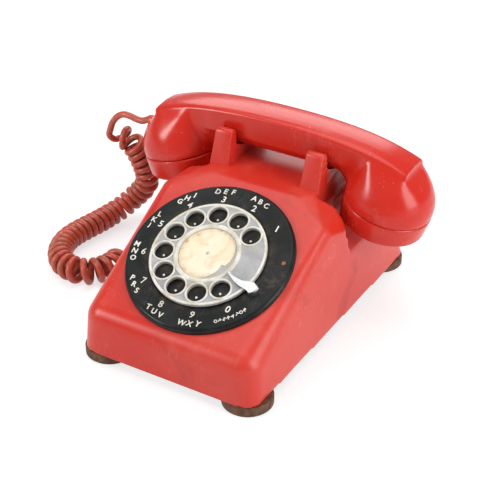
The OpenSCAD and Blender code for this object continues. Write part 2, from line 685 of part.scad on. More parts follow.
module ringer_frame() color("lightgray") difference() {
    union() {
        translate([-50, -2, ringer_z]) cube([100, 51.4, sheet]);
        for (x = [-46, 46], y = [2, 44]) translate([x, y, plate_top])
            cylinder(r = 3, h = ringer_z - plate_top + eps);
        at_gongs() translate([0, 0, ringer_top - eps])
            cylinder(r = 4, h = gong_top - gong_wall - ringer_top);
        translate([0, clapper_y, ringer_top - eps]) cylinder(r = pin_radius, h = gong_rim + 5 - ringer_top);
        translate([0, clapper_y, ringer_top - eps]) cylinder(r = 3, h = gong_rim - 0.5 - ringer_top);
    }
    at_gongs() translate([0, 0, ringer_top + 8]) cylinder(r = 1.6, h = 40);
}

module ringer_core() color("slategray") {
    translate([-pole_x - 2, coil_y - core_size / 2, coil_z - core_size / 2])
        cube([2 * pole_x + 4, core_size, core_size]);
    for (s = sides) translate([s > 0 ? pole_x : -pole_x - 2, coil_y - core_size / 2, ringer_top])
        cube([2, core_size, gong_rim + 3 - ringer_top]);
}

module ringer_coil() color("orangered") difference() {
    translate([-pole_x + 0.3, coil_y, coil_z]) rotate([0, 90, 0]) rotate_extrude()
        polygon([[0, 0], [7.5, 0], [7.5, 1.5], [6.6, 1.5], [6.6, 2 * pole_x - 2.1], [7.5, 2 * pole_x - 2.1],
                 [7.5, 2 * pole_x - 0.6], [0, 2 * pole_x - 0.6]]);
    translate([-pole_x, coil_y - core_size / 2 - 0.1, coil_z - core_size / 2 - 0.1])
        cube([2 * pole_x, core_size + 0.2, core_size + 0.2]);
}

// Domed gong with a hole for its screw
module gong(radius) rotate_extrude($fn = 96) {
    round = 9;
    polygon(concat([[radius, gong_rim]], arc([radius - round, gong_top - round], round, 0, 90, 8),
                   [[2.1, gong_top], [2.1, gong_top - gong_wall]],
                   arc([radius - round, gong_top - round], round - gong_wall, 90, 0, 8),
                   [[radius - gong_wall, gong_rim]]));
}

module large_gong() color("gold") translate([gong_x, gong_y, 0]) gong(large_gong_radius);

module small_gong() color("gold") translate([-gong_x, gong_y, 0]) gong(small_gong_radius);

module gong_screws() color("dimgray") at_gongs() {
    translate([0, 0, gong_top]) cylinder(r = 3.6, h = 1.8);
    translate([0, 0, gong_top - 14]) cylinder(r = 1.5, h = 14 + eps);
}

module clapper() color("silver") {
    z = gong_rim + 1.5;
    difference() {
        union() {
            translate([0, gong_y, z]) sphere(r = clapper_radius);
            translate([-0.8, gong_y, z - 0.8]) cube([1.6, clapper_y - gong_y, 1.6]);
            translate([0, clapper_y, z - 1.7]) cylinder(r = 3.2, h = 3.4);
            translate([-1, clapper_y, z - 1.7]) cube([2, coil_y - clapper_y, 3.4]);
            translate([-pole_x + 3, coil_y - 1.5, z - 1.7]) cube([2 * pole_x - 6, 3, 3.4]);
        }
        translate([0, clapper_y, z - 3]) cylinder(r = pin_radius + running_gap, h = 6);
    }
}

// Knurled thumb wheel under the base plate that sets the ringer's loudness
module volume_wheel() color("dimgray") translate(volume_at - [0, 0, 4.6]) difference() {
    notches = 24;
    tooth = [[12, 0.15], [12, 0.5], [11.3, 0.65], [11.3, 1]];
    linear_extrude(3.8) polygon([for (i = [0:notches - 1], q = tooth)
        q[0] * [cos(360 * (i + q[1]) / notches), sin(360 * (i + q[1]) / notches)]]);
    translate([0, 0, -1]) cylinder(r = volume_pin + running_gap, h = 6);
}

module network_box() color("saddlebrown") translate([31, 50, plate_top]) difference() {
    cube([28, 35, 22]);
    translate([2, 2, 21]) cube([24, 31, 2]);
}

module terminal_screws() color("silver") for (i = [0:1], k = [0:4])
    translate([37 + 16 * i, 55.5 + 6 * k, plate_top + 21]) cylinder(r = 2, h = 1.6);

// Places along the handle where its section is set
handle_stations = [for (i = [-13:13]) i * handle_end / 13];

// Height of the handle's underside at x: an arch between the cups
function under_at(x) = handle_under - 9 * pow(max(0, abs(x) - arch_start) / 9, 2);

// Section of the handle: crowned top, upright sides, narrowing to the underside
function handle_section(x) = let (
        half = handle_width / 2, top = ridge_at(x), low = max(under_at(x), 84),
        waist = min(handle_under + 8.8, top - 6), knee = min(low + 2.6, waist - 1),
        right = [[half - 9.5, low], [half - 4.6, knee], [half, waist], [half, top - 3.4],
                 [half - 1.3, top - 1.7], [half - 4, top - 0.8]])
    concat([for (p = right) [x, cradle_back + p[0], p[1]]],
           [[x, cradle_back, top]],
           [for (i = [5:-1:0]) [x, cradle_back - right[i][0], right[i][1]]]);

// Bar of the handle, lofted through its sections
module handle_bar() {
    count = len(handle_stations);
    n = 13;
    points = [for (x = handle_stations) each handle_section(x)];
    walls = [for (i = [0:count - 2], k = [0:n - 1])
        [i * n + k, (i + 1) * n + k, (i + 1) * n + (k + 1) % n, i * n + (k + 1) % n]];
    first = [for (k = [0:n - 1]) k];
    last = [for (k = [n - 1:-1:0]) (count - 1) * n + k];
    polyhedron(points, concat([first, last], split(walls)), convexity = 10);
}

// One cup's shell: round at the seam, swept up to the flat end of the handle
module cup_head(side) hull() {
    at_cup(side) {
        cylinder(r = cup_radius, h = 7, $fn = hull_fn);
        translate([0, 0, 13]) cylinder(r = cup_radius - 2, h = 1, $fn = hull_fn);
        translate([0, 0, 19]) cylinder(r = cup_radius - 6, h = 1, $fn = hull_fn);
    }
    for (x = [62, 76, 90], s = sides)
        knuckle(side * x, cradle_back + s * (handle_width / 2 - 2.2), ridge_at(x) - 3.6, 2.2);
}

module handset_handle() color("firebrick") difference() {
    union() {
        handle_bar();
        cup_head(1);
        cup_head(-1);
    }
    for (s = sides) at_cup(s) translate([0, 0, -20]) cylinder(r = cup_radius - 4, h = 30);
    for (s = sides) at_cup(s) translate([0, 0, -20]) cylinder(r = cup_radius + 5, h = 20);
    translate([cord_exit[0] - 1, cradle_back, cord_exit[2]]) rotate([0, 90, 0]) cylinder(r = 4, h = 8);
}

// Screw-on cap with a slightly dished face and sound holes
module cap(rings) difference() {
    rotate_extrude($fn = 96) polygon(concat(
        [[0, 1 - cap_depth], [cup_radius - 12, 1 - cap_depth]],
        arc([cup_radius - 4, 3 - cap_depth], 3, 270, 352, 6),
        [[cup_radius, -1.2], [cup_radius - 0.5, 0], [cup_radius - cap_wall, 0],
         [cup_radius - cap_wall, cap_floor + 1], [cup_radius - cap_wall - 1, cap_floor], [0, cap_floor]]));
    for (ring = rings, i = [0:ring[1] - 1]) rotate([0, 0, 360 * i / ring[1]])
        translate([ring[0], 0, -cap_depth - 1]) cylinder(r = 1.3, h = 6, $fn = 16);
}

module receiver_cap() color("firebrick") at_cup(-1) cap([[0, 1], [5, 6]]);

module transmitter_cap() color("firebrick") at_cup(1) cap([[0, 1], [6, 6], [12, 12]]);

module receiver_unit() color("silver") at_cup(-1) {
    translate([0, 0, cap_floor]) cylinder(r = cup_radius - 5.5, h = 5);
    translate([0, 0, cap_floor + 5 - eps]) cylinder(r = cup_radius - 10, h = unit_top - cap_floor - 5);
}

module transmitter_unit() color("gold") at_cup(1) translate([0, 0, cap_floor])
    cylinder(r = cup_radius - 5.5, h = unit_top - cap_floor);

module transmitter_cup() color("dimgray") at_cup(1) translate([0, 0, unit_top]) difference() {
    cylinder(r = cup_radius - 4.3, h = 8);
    translate([0, 0, 2]) cylinder(r = cup_radius - 6.3, h = 8);
}

module handset_cord_grommet() color("maroon") translate([cord_exit[0], cradle_back, cord_exit[2]])
    rotate([0, 90, 0]) union() {
        cylinder(r1 = 3.2, r2 = 3.9, h = 2.5);
        translate([0, 0, 2.5 - eps]) cylinder(r = 3.9, h = 4);
    }

module cord_lead() color("brown") tube(smooth(lead_route), cord_radius, 8, [0, 1, 0]);

module cord_coil() color("brown") tube(smooth(coil_route), coil_radius, 10, [0, 0, 1]);

module cord_tail() color("brown") tube(smooth(tail_route), cord_radius, 8, [0, 0, 1]);

housing();
base_plate();
feet();
housing_screws();
handset_cord_gland();
line_cord_inlet();
left_plunger();
right_plunger();
hook_bracket();
hook_pin();
hook_lever();
hook_spring();
switch_springs();
switch_insulators();
number_ring();
dial_plate();
dial_back_plate();
finger_stop();
finger_wheel();
number_card();
card_window();
card_retainer();
dial_shaft();
main_gear();
return_spring();
pulse_shaft();
governor();
pulse_contacts();
dial_bracket();
dial_screws();
ringer_frame();
ringer_core();
ringer_coil();
large_gong();
small_gong();
gong_screws();
clapper();
volume_wheel();
network_box();
terminal_screws();
handset_handle();
receiver_cap();
transmitter_cap();
receiver_unit();
transmitter_unit();
transmitter_cup();
handset_cord_grommet();
cord_lead();
cord_coil();
cord_tail();
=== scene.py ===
"""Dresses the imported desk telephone: moulded housing, rotary dial, handset and coiled handset cord."""
import logging
import math
from collections.abc import Sequence
from dataclasses import dataclass, field
from enum import Enum

import bmesh
import bpy
from mathutils import Matrix, Vector


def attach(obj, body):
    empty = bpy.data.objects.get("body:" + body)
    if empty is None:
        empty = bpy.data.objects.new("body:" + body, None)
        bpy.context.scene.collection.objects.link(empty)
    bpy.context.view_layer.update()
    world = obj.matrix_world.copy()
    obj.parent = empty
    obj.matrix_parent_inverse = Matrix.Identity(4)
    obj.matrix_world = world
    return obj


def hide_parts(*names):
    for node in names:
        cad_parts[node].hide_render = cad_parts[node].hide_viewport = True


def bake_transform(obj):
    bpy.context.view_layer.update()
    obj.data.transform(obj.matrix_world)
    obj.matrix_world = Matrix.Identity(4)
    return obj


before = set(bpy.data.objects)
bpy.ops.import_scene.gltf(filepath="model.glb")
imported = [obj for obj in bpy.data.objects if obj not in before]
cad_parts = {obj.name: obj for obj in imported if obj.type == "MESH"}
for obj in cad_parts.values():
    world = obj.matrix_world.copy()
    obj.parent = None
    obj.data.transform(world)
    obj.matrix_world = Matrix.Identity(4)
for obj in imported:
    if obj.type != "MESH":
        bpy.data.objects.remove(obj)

log = logging.getLogger("telephone")

MM = 0.001
SIDES = (-1, 1)
Point = Sequence[float]

# Places that several pieces share, as the frame has them, in millimetres and degrees.
CRADLE_BACK = 44.75
CUP_REACH = 78.2
CUP_HEIGHT = 81.5
CUP_TILT = 14.0
DIAL_FORWARD = 51.5
DECK_HEIGHT = 65.0
DECK_TILT = 25.4


class Body(Enum):
    """The moving bodies of the frame that pieces ride on."""

    BASE = "base"
    HANDSET = "handset"
    DIAL = "dial"


class Slot(Enum):
    """The record's material slots."""

    SHELL = "shell_red"
    CORD = "cord_red"
    RING = "dark_ring"
    CLEAR = "clear_plastic"
    CARD = "card"
    BRIGHT = "bright_metal"
    STEEL = "steel"
    BRASS = "brass"
    PAD = "foot_pad"
    PHENOLIC = "phenolic"
    WINDING = "winding"
    DARK = "dark_plastic"
    IVORY = "ivory_plastic"


class Joinery(Enum):
    """The ways in which one workpiece is worked with another."""

    ADD = "UNION"
    CUT = "DIFFERENCE"
    KEEP = "INTERSECT"


class Solver(Enum):
    """The solvers that join two meshes: a careful one, and a quick one for closed skins."""

    EXACT = "EXACT"
    QUICK = "MANIFOLD"


# ---------------------------------------------------------------- shader boards


class Wire:
    """One output of a shader node. Arithmetic on it adds Math nodes to its board."""

    def __init__(self, board: "Board", socket: bpy.types.NodeSocket) -> None:
        """Keeps the socket and the board it is on."""
        self.board = board
        self.socket = socket

    def _math(self, operation: str, first: "Wire | float", second: "Wire | float") -> "Wire":
        """Adds one Math node, and returns its result."""
        return self.board.add("ShaderNodeMath", {"operation": operation}, {0: first, 1: second})

    def __add__(self, other: "Wire | float") -> "Wire":
        """Sum."""
        return self._math("ADD", self, other)

    def __radd__(self, other: float) -> "Wire":
        """Sum, reflected."""
        return self._math("ADD", other, self)

    def __sub__(self, other: "Wire | float") -> "Wire":
        """Difference."""
        return self._math("SUBTRACT", self, other)

    def __rsub__(self, other: float) -> "Wire":
        """Difference, reflected."""
        return self._math("SUBTRACT", other, self)

    def __mul__(self, other: "Wire | float") -> "Wire":
        """Product."""
        return self._math("MULTIPLY", self, other)

    def __rmul__(self, other: float) -> "Wire":
        """Product, reflected."""
        return self._math("MULTIPLY", other, self)

    def within(self, low: float, high: float) -> "Wire":
        """Returns 0 at low and 1 at high, smooth between them and flat beyond; low may be the larger."""
        return self.board.add("ShaderNodeMapRange", {"interpolation_type": "SMOOTHSTEP"},
                              {0: self, 1: low, 2: high})

    def cover(self, other: "Wire") -> "Wire":
        """Returns the larger of two masks."""
        return self._math("MAXIMUM", self, other)

    def size(self) -> "Wire":
        """Returns the value without its sign."""
        return self._math("ABSOLUTE", self, 0.0)


class Board:
    """The node tree of one finish, with a Principled shader at its end."""

    def __init__(self, name: str) -> None:
        """Makes an empty material with a Principled shader wired to its output."""
        self.material = bpy.data.materials.new(name)
        self.material.use_nodes = True
        self.tree = self.material.node_tree
        self.tree.nodes.clear()
        self.output = self.tree.nodes.new("ShaderNodeOutputMaterial")
        self.shader = self.tree.nodes.new("ShaderNodeBsdfPrincipled")
        self.tree.links.new(self.shader.outputs[0], self.output.inputs["Surface"])
        self._place: Wire | None = None

    def add(self, kind: str, settings: dict, sockets: dict, output: int | str = 0) -> Wire:
        """Adds a node.

        Args:
            kind: The node's type.
            settings: Its own properties.
            sockets: Values or wires for its inputs, by index or name.
            output: Which of its outputs is wanted.

        Returns:
            That output.
        """
        node = self.tree.nodes.new(kind)
        for name, value in settings.items():
            setattr(node, name, value)
        for name, value in sockets.items():
            self._feed(node.inputs[name], value)
        return Wire(self, node.outputs[output])

    def _feed(self, socket: bpy.types.NodeSocket, value: object) -> None:
        """Links a wire to a socket, or sets its value.

        Args:
            socket: The input to feed.
            value: A wire, a number, a vector or a colour.
        """
        if isinstance(value, Wire):
            self.tree.links.new(value.socket, socket)
        elif socket.type == "RGBA" and len(value) == 3:
            socket.default_value = (*value, 1.0)
        else:
            socket.default_value = value

    def place(self) -> Wire:
        """Gives the place on the piece.

        Returns:
            The Object coordinates, which are the frame's own, in metres.
        """
        if self._place is None:
            self._place = self.add("ShaderNodeTexCoord", {}, {}, "Object")
        return self._place

    def noise(self, scale: float, detail: float = 3.0, place: Wire | None = None,
              distortion: float = 0.0) -> Wire:
        """Adds a cloudy pattern.

        Args:
            scale: One over the size of its features, in metres.
            detail: How many finer layers it has.
            place: Where it is read, if not at the piece's own place.
            distortion: How much it is swirled.

        Returns:
            A value from 0 to 1.
        """
        return self.add("ShaderNodeTexNoise", {},
                        {"Vector": place or self.place(), "Scale": scale, "Detail": detail,
                         "Distortion": distortion})

    def turned(self, angles: Point, scale: Point) -> Wire:
        """Returns the place turned by angles in degrees and stretched, for a streaked pattern."""
        return self.add("ShaderNodeMapping", {},
                        {"Vector": self.place(), "Rotation": [math.radians(a) for a in angles],
                         "Scale": scale})

    def blend(self, factor: Wire | float, first: Wire | Point, second: Wire | Point) -> Wire:
        """Returns a colour between two others."""
        return self.add("ShaderNodeMix", {"data_type": "RGBA"}, {0: factor, 6: first, 7: second}, 2)

    def spot(self, centre: Point, radius: float, ragged: float = 0.35) -> Wire:
        """Makes a mask of a ragged spot.

        Args:
            centre: Its middle, in millimetres.
            radius: Its radius, in millimetres.
            ragged: How far its edge wanders, as a share of the radius.

        Returns:
            The mask.
        """
        away = self.add("ShaderNodeVectorMath", {"operation": "DISTANCE"},
                        {0: self.place(), 1: [c * MM for c in centre]}, "Value")
        edge = away + (self.noise(900.0, 2.0) - 0.5) * (2 * ragged * radius * MM)
        return edge.within(radius * MM, radius * MM * 0.8)

    def scratches(self, angles: Point, density: float, fineness: float = 0.006,
                  stretch: float = 0.035) -> Wire:
        """Makes a mask of fine straight scratches along one direction.

        Args:
            angles: How the pattern is turned, in degrees.
            density: Scratches to a metre.
            fineness: The width of a scratch, as a share of the pattern's swing.
            stretch: Its width over its length.

        Returns:
            The mask.
        """
        streaks = self.noise(1.0, 2.0, self.turned(angles, (density, density * stretch, density * stretch)))
        lines = (streaks - 0.5).size().within(fineness, fineness * 0.3)
        return lines * self.noise(55.0, 2.0).within(0.52, 0.62)

    def bump(self, height: Wire, strength: float, distance: float) -> Wire:
        """Returns a normal bent by a height."""
        return self.add("ShaderNodeBump", {}, {"Strength": strength, "Distance": distance, "Height": height})

    def finish(self, **sockets: object) -> bpy.types.Material:
        """Feeds the Principled shader's sockets, named with underscores for spaces.

        Returns:
            The finished material.
        """
        for name, value in sockets.items():
            self._feed(self.shader.inputs[name.replace("_", " ")], value)
        return self.material


# ---------------------------------------------------------------- finishes


@dataclass(frozen=True)
class AgedPlastic:
    """Moulded coloured plastic with fading, grime, dust and scratches."""

    name: str
    colour: Point = (0.58, 0.018, 0.008)
    faded: Point = (0.64, 0.066, 0.044)
    grime: Point = (0.34, 0.022, 0.012)
    scratched: Point = (0.74, 0.20, 0.15)
    dusty: Point = (0.70, 0.32, 0.26)
    roughness: float = 0.3
    fading: float = 0.6

    def make(self) -> bpy.types.Material:
        """Builds the finish.

        Returns:
            The material.
        """
        board = Board(self.name)
        cloud = board.noise(11.0, 4.0)
        fade = cloud.within(0.36, 0.68) * self.fading
        mottle = board.noise(90.0, 5.0).within(0.55, 0.75) * 0.25
        smears = board.noise(28.0, 5.0, distortion=0.6).within(0.58, 0.74) * 0.4
        specks = board.noise(620.0, 1.0).within(0.73, 0.78) * board.noise(40.0, 1.0).within(0.45, 0.7)
        marks = board.scratches((20, 10, 35), 900.0).cover(board.scratches((70, -20, 120), 700.0))
        colour = board.blend(fade + mottle, self.colour, self.faded)
        colour = board.blend(smears, colour, self.grime)
        colour = board.blend(marks * 0.5, colour, self.scratched)
        colour = board.blend(specks * 0.7, colour, self.dusty)
        roughness = self.roughness + fade * 0.08 + smears * 0.22 + marks * 0.2
        grain = board.noise(2600.0, 2.0) * 0.25 + marks * -0.5 + board.noise(140.0, 2.0)
        return board.finish(Base_Color=colour, Roughness=roughness, Specular_IOR_Level=0.42,
                            Normal=board.bump(grain, 0.06, 0.0003))


@dataclass(frozen=True)
class Mottled:
    """A plain material whose colour varies between two shades, with fine grain."""

    name: str
    colour: Point
    second: Point
    roughness: float = 0.5
    spread: float = 0.12
    scale: float = 70.0
    grain: float = 1500.0
    bump: float = 0.1

    def make(self) -> bpy.types.Material:
        """Builds the finish.

        Returns:
            The material.
        """
        board = Board(self.name)
        cloud = board.noise(self.scale, 5.0)
        fine = board.noise(self.grain, 2.0)
        colour = board.blend(cloud.within(0.35, 0.7), self.colour, self.second)
        return board.finish(Base_Color=colour, Roughness=self.roughness + (fine - 0.5) * self.spread,
                            Normal=board.bump(fine, self.bump, 0.0002))


@dataclass(frozen=True)
class BrushedMetal:
    """Sheet or turned metal with a brushed grain and spots of tarnish."""

    name: str
    colour: Point
    tarnish: Point
    roughness: float = 0.32
    amount: float = 0.5
    angles: Point = (0, 0, 20)

    def make(self) -> bpy.types.Material:
        """Builds the finish.

        Returns:
            The material.
        """
        board = Board(self.name)
        brush = board.noise(1.0, 3.0, board.turned(self.angles, (1800.0, 90.0, 90.0)))
        stain = board.noise(130.0, 5.0).within(0.52, 0.72) * self.amount
        colour = board.blend(stain, board.blend(brush * 0.4, self.colour, self.tarnish), self.tarnish)
        return board.finish(Base_Color=colour, Roughness=self.roughness + stain * 0.3 + (brush - 0.5) * 0.16,
                            Metallic=1.0, Normal=board.bump(brush, 0.12, 0.0002))


@dataclass(frozen=True)
class CordVinyl:
    """Soft vinyl jacket, browned by dirt in random patches."""

    name: str = "cord_vinyl"
    colour: Point = (0.52, 0.080, 0.045)
    worn: Point = (0.43, 0.095, 0.052)
    dirt: Point = (0.20, 0.036, 0.018)

    def make(self) -> bpy.types.Material:
        """Builds the finish.

        Returns:
            The material.
        """
        board = Board(self.name)
        cloud = board.noise(60.0, 5.0).within(0.4, 0.68)
        dirt = board.noise(330.0, 4.0, distortion=0.4).within(0.56, 0.7) * 0.6
        colour = board.blend(dirt, board.blend(cloud, self.colour, self.worn), self.dirt)
        return board.finish(Base_Color=colour, Roughness=0.27 + dirt * 0.3 + cloud * 0.08,
                            Normal=board.bump(board.noise(1100.0, 3.0), 0.12, 0.0003))


@dataclass(frozen=True)
class RingPlastic:
    """Charcoal plastic of the number ring, browned and scuffed near the finger wheel."""

    name: str = "ring_plastic"
    colour: Point = (0.010, 0.011, 0.011)
    faded: Point = (0.022, 0.024, 0.024)
    brown: Point = (0.070, 0.055, 0.038)
    rust: Point = (0.32, 0.13, 0.05)
    scratched: Point = (0.25, 0.24, 0.22)
    centre: Point = (0.0, -DIAL_FORWARD, DECK_HEIGHT)
    wear_outer: float = 45.5
    wear_inner: float = 39.0
    roll_inner: float = 52.8
    roll_outer: float = 54.5
    stop_place: Point = (46.0, -56.0, 66.0)
    stop_wear: float = 11.0
    rust_place: Point = (48.5, -43.0, 72.5)
    rust_radius: float = 1.6

    def make(self) -> bpy.types.Material:
        """Builds the finish.

        Returns:
            The material.
        """
        board = Board(self.name)
        offset = board.add("ShaderNodeVectorMath", {"operation": "SUBTRACT"},
                           {0: board.place(), 1: [c * MM for c in self.centre]})
        radius = board.add("ShaderNodeVectorMath", {"operation": "LENGTH"}, {0: offset}, "Value")
        cloud = board.noise(45.0, 5.0)
        fade = cloud.within(0.35, 0.7)
        worn = radius.within(self.wear_outer * MM, self.wear_inner * MM)
        wear = worn * board.noise(120.0, 5.0).within(0.42, 0.66)
        by_stop = board.spot(self.stop_place, self.stop_wear, 0.6)
        stop_wear = by_stop * board.noise(260.0, 5.0).within(0.45, 0.65)
        streak = board.scratches((10, 0, 75), 1500.0).cover(board.scratches((0, 30, -20), 1300.0))
        colour = board.blend(fade, self.colour, self.faded)
        colour = board.blend(wear.cover(stop_wear) * 0.7, colour, self.brown)
        colour = board.blend(board.spot(self.rust_place, self.rust_radius), colour, self.rust)
        colour = board.blend(streak * 0.35, colour, self.scratched)
        roll = radius.within(self.roll_inner * MM, self.roll_outer * MM)
        roughness = 0.46 - roll * 0.26 + wear * 0.15
        return board.finish(Base_Color=colour, Roughness=roughness, Specular_IOR_Level=0.14,
                            Normal=board.bump(board.noise(1800.0, 3.0), 0.1, 0.0002))


@dataclass(frozen=True)
class HazyPlastic:
    """Clear plastic gone grey and hazy, with yellowed patches."""

    name: str = "hazy_plastic"
    colour: Point = (0.40, 0.40, 0.405)
    pale: Point = (0.55, 0.55, 0.54)
    yellowed: Point = (0.50, 0.42, 0.30)
    scuffed: Point = (0.7, 0.7, 0.68)

    def make(self) -> bpy.types.Material:
        """Builds the finish.

        Returns:
            The material.
        """
        board = Board(self.name)
        cloud = board.noise(70.0, 5.0, distortion=0.3)
        stain = board.noise(150.0, 5.0).within(0.56, 0.72) * 0.5
        scuffs = board.scratches((0, 0, 30), 1200.0).cover(board.scratches((0, 0, -60), 1000.0))
        colour = board.blend(cloud.within(0.35, 0.7), self.colour, self.pale)
        colour = board.blend(stain, colour, self.yellowed)
        colour = board.blend(scuffs * 0.5, colour, self.scuffed)
        return board.finish(Base_Color=colour, Roughness=0.3 + cloud * 0.12,
                            Alpha=0.82 + (cloud - 0.5) * 0.2,
                            Normal=board.bump(board.noise(900.0, 3.0), 0.08, 0.0002))


@dataclass(frozen=True)
class ClearWindow:
    """Thin clear plastic over the card, with faint scuffs."""

    name: str = "clear_window"
    colour: Point = (0.92, 0.90, 0.84)
    yellowed: Point = (0.80, 0.74, 0.60)

    def make(self) -> bpy.types.Material:
        """Builds the finish.

        Returns:
            The material.
        """
        board = Board(self.name)
        haze = board.noise(160.0, 4.0)
        scuffs = board.scratches((0, 0, 40), 1400.0)
        return board.finish(Base_Color=board.blend(haze, self.colour, self.yellowed),
                            Roughness=0.12 + haze * 0.1,
                            Alpha=0.05 + haze.within(0.55, 0.75) * 0.08 + scuffs * 0.15)


@dataclass(frozen=True)
class StainedCard:
    """Cream paper with yellow and brown stains and a browned edge."""

    name: str = "stained_card"
    paper: Point = (0.86, 0.75, 0.54)
    pale: Point = (0.91, 0.85, 0.72)
    stain: Point = (0.74, 0.52, 0.27)
    brown: Point = (0.42, 0.23, 0.10)
    centre: Point = (0.0, -54.0, 70.4)
    rim_inner: float = 14.5
    rim_outer: float = 19.5
    ragged: float = 8.0

    def make(self) -> bpy.types.Material:
        """Builds the finish.

        Returns:
            The material.
        """
        board = Board(self.name)
        away = board.add("ShaderNodeVectorMath", {"operation": "DISTANCE"},
                         {0: board.place(), 1: [c * MM for c in self.centre]}, "Value")
        edge = away + (board.noise(210.0, 5.0) - 0.5) * (self.ragged * MM)
        rim = edge.within(self.rim_inner * MM, self.rim_outer * MM)
        blotch = board.noise(85.0, 5.0, distortion=0.5)
        colour = board.blend(board.noise(40.0, 3.0).within(0.4, 0.65), self.paper, self.pale)
        colour = board.blend(blotch.within(0.55, 0.68) * 0.55, colour, self.stain)
        colour = board.blend(rim * 0.7, colour, self.stain)
        colour = board.blend(rim * board.noise(300.0, 4.0).within(0.52, 0.66) * 0.8, colour, self.brown)
        return board.finish(Base_Color=colour, Roughness=0.75 + (blotch - 0.5) * 0.2,
                            Normal=board.bump(board.noise(1200.0, 4.0), 0.2, 0.0002))


# ---------------------------------------------------------------- workpieces


def at(x: float, y: float, z: float) -> Matrix:
    """Returns a shift, in millimetres."""
    return Matrix.Translation((x, y, z))


def turn(degrees: float, axis: str) -> Matrix:
    """Returns a rotation about one of the axes."""
    return Matrix.Rotation(math.radians(degrees), 4, axis)


class Workpiece:
    """A mesh on the bench, in millimetres, in the frame of the whole telephone."""

    def __init__(self) -> None:
        """Starts with nothing."""
        self.bm = bmesh.new()

    def ball(self, centre: Point, radius: float, segments: int) -> None:
        """Adds a ball."""
        bmesh.ops.create_uvsphere(self.bm, u_segments=segments, v_segments=segments // 2,
                                  radius=radius, matrix=Matrix.Translation(centre))

    def drum(self, place: Matrix, radius: float, height: float, segments: int) -> None:
        """Adds a cylinder that stands on the place's XY plane."""
        bmesh.ops.create_cone(self.bm, cap_ends=True, cap_tris=False, segments=segments, radius1=radius,
                              radius2=radius, depth=height, matrix=place @ at(0, 0, height / 2))

    def prism(self, outline: Sequence[Point], height: float, place: Matrix) -> None:
        """Adds a flat outline raised along the place's Z axis.

        Args:
            outline: Its corners in order.
            height: How far it is raised.
            place: Where the outline's plane and origin lie.
        """
        low = [self.bm.verts.new((x, y, 0)) for x, y in outline]
        grown = bmesh.ops.extrude_face_region(self.bm, geom=[self.bm.faces.new(low)], use_keep_orig=True)
        high = [v for v in grown["geom"] if isinstance(v, bmesh.types.BMVert)]
        bmesh.ops.translate(self.bm, verts=high, vec=(0, 0, height))
        bmesh.ops.transform(self.bm, matrix=place, verts=low + high)
        self.tidy()

    def lathe(self, profile: Sequence[Point], place: Matrix, segments: int) -> None:
        """Adds a closed profile turned once round the place's Z axis.

        Args:
            profile: Its corners in order, each a radius and a height.
            place: Where the axis stands.
            segments: Steps in the turn.
        """
        verts = [self.bm.verts.new((r, 0, z)) for r, z in profile]
        edges = [self.bm.edges.new(pair) for pair in zip(verts, verts[1:] + verts[:1])]
        old = set(self.bm.verts) - set(verts)
        bmesh.ops.spin(self.bm, geom=verts + edges, cent=(0, 0, 0), axis=(0, 0, 1),
                       angle=2 * math.pi, steps=segments, use_merge=True)
        bmesh.ops.transform(self.bm, matrix=place, verts=[v for v in self.bm.verts if v not in old])
        self.tidy()

    def loft(self, rings: Sequence[Sequence[Point]]) -> None:
        """Adds a skin over rings of points, closed at both ends.

        Args:
            rings: The rings in order, all with the same number of points.
        """
        loops = []
        for ring in rings:
            verts = [self.bm.verts.new(p) for p in ring]
            loops.append([self.bm.edges.new(pair) for pair in zip(verts, verts[1:] + verts[:1])])
        for first, second in zip(loops, loops[1:]):
            bmesh.ops.bridge_loops(self.bm, edges=first + second)
        for end in (loops[0], loops[-1]):
            bmesh.ops.contextual_create(self.bm, geom=end)
        self.tidy()

    def text(self, body: str, height: float, place: Matrix, thickness: float, bold: float) -> None:
        """Adds raised lettering.

        Args:
            body: What it says.
            height: Height of a capital letter.
            place: Where the middle of the lettering stands, with its plane as XY.
            thickness: How far it stands up.
            bold: How much the strokes are thickened, as a share of the height.
        """
        curve = bpy.data.curves.new("lettering", "FONT")
        curve.body, curve.size, curve.align_x, curve.align_y = body, 1.0, "CENTER", "BOTTOM_BASELINE"
        curve.extrude, curve.offset, curve.resolution_u = thickness / height / 2, bold, 3
        holder = bpy.data.objects.new("lettering", curve)
        bpy.context.scene.collection.objects.link(holder)
        bpy.context.view_layer.update()
        seen = holder.evaluated_get(bpy.context.evaluated_depsgraph_get())
        mesh = bpy.data.meshes.new_from_object(seen)
        low = Vector(min(v.co[i] for v in mesh.vertices) for i in range(3))
        high = Vector(max(v.co[i] for v in mesh.vertices) for i in range(3))
        size = height / (high.y - low.y)
        middle = (low + high) / 2
        mesh.transform(place @ Matrix.Scale(size, 4) @ at(-middle.x, -middle.y, -low.z))
        self.bm.from_mesh(mesh)
        bpy.data.objects.remove(holder)
        bpy.data.curves.remove(curve)
        bpy.data.meshes.remove(mesh)

    def join(self, other: "Workpiece") -> None:
        """Lays another workpiece beside this one, in one mesh.

        Args:
            other: The other workpiece, which is used up.
        """
        mesh = bpy.data.meshes.new("joined")
        other.bm.to_mesh(mesh)
        self.bm.from_mesh(mesh)
        other.bm.free()
        bpy.data.meshes.remove(mesh)

    def tidy(self, gap: float = 1e-4) -> None:
        """Merges doubled points and turns every face outwards."""
        bmesh.ops.remove_doubles(self.bm, verts=self.bm.verts[:], dist=gap)
        bmesh.ops.recalc_face_normals(self.bm, faces=self.bm.faces[:])

    def hull(self) -> None:
        """Shrinks a tight skin over everything so far."""
        bmesh.ops.delete(self.bm, geom=self.bm.edges[:] + self.bm.faces[:], context="EDGES_FACES")
        bmesh.ops.convex_hull(self.bm, input=self.bm.verts[:])
        loose = [v for v in self.bm.verts if not v.link_faces]
        bmesh.ops.delete(self.bm, geom=loose, context="VERTS")
        self.flatten()

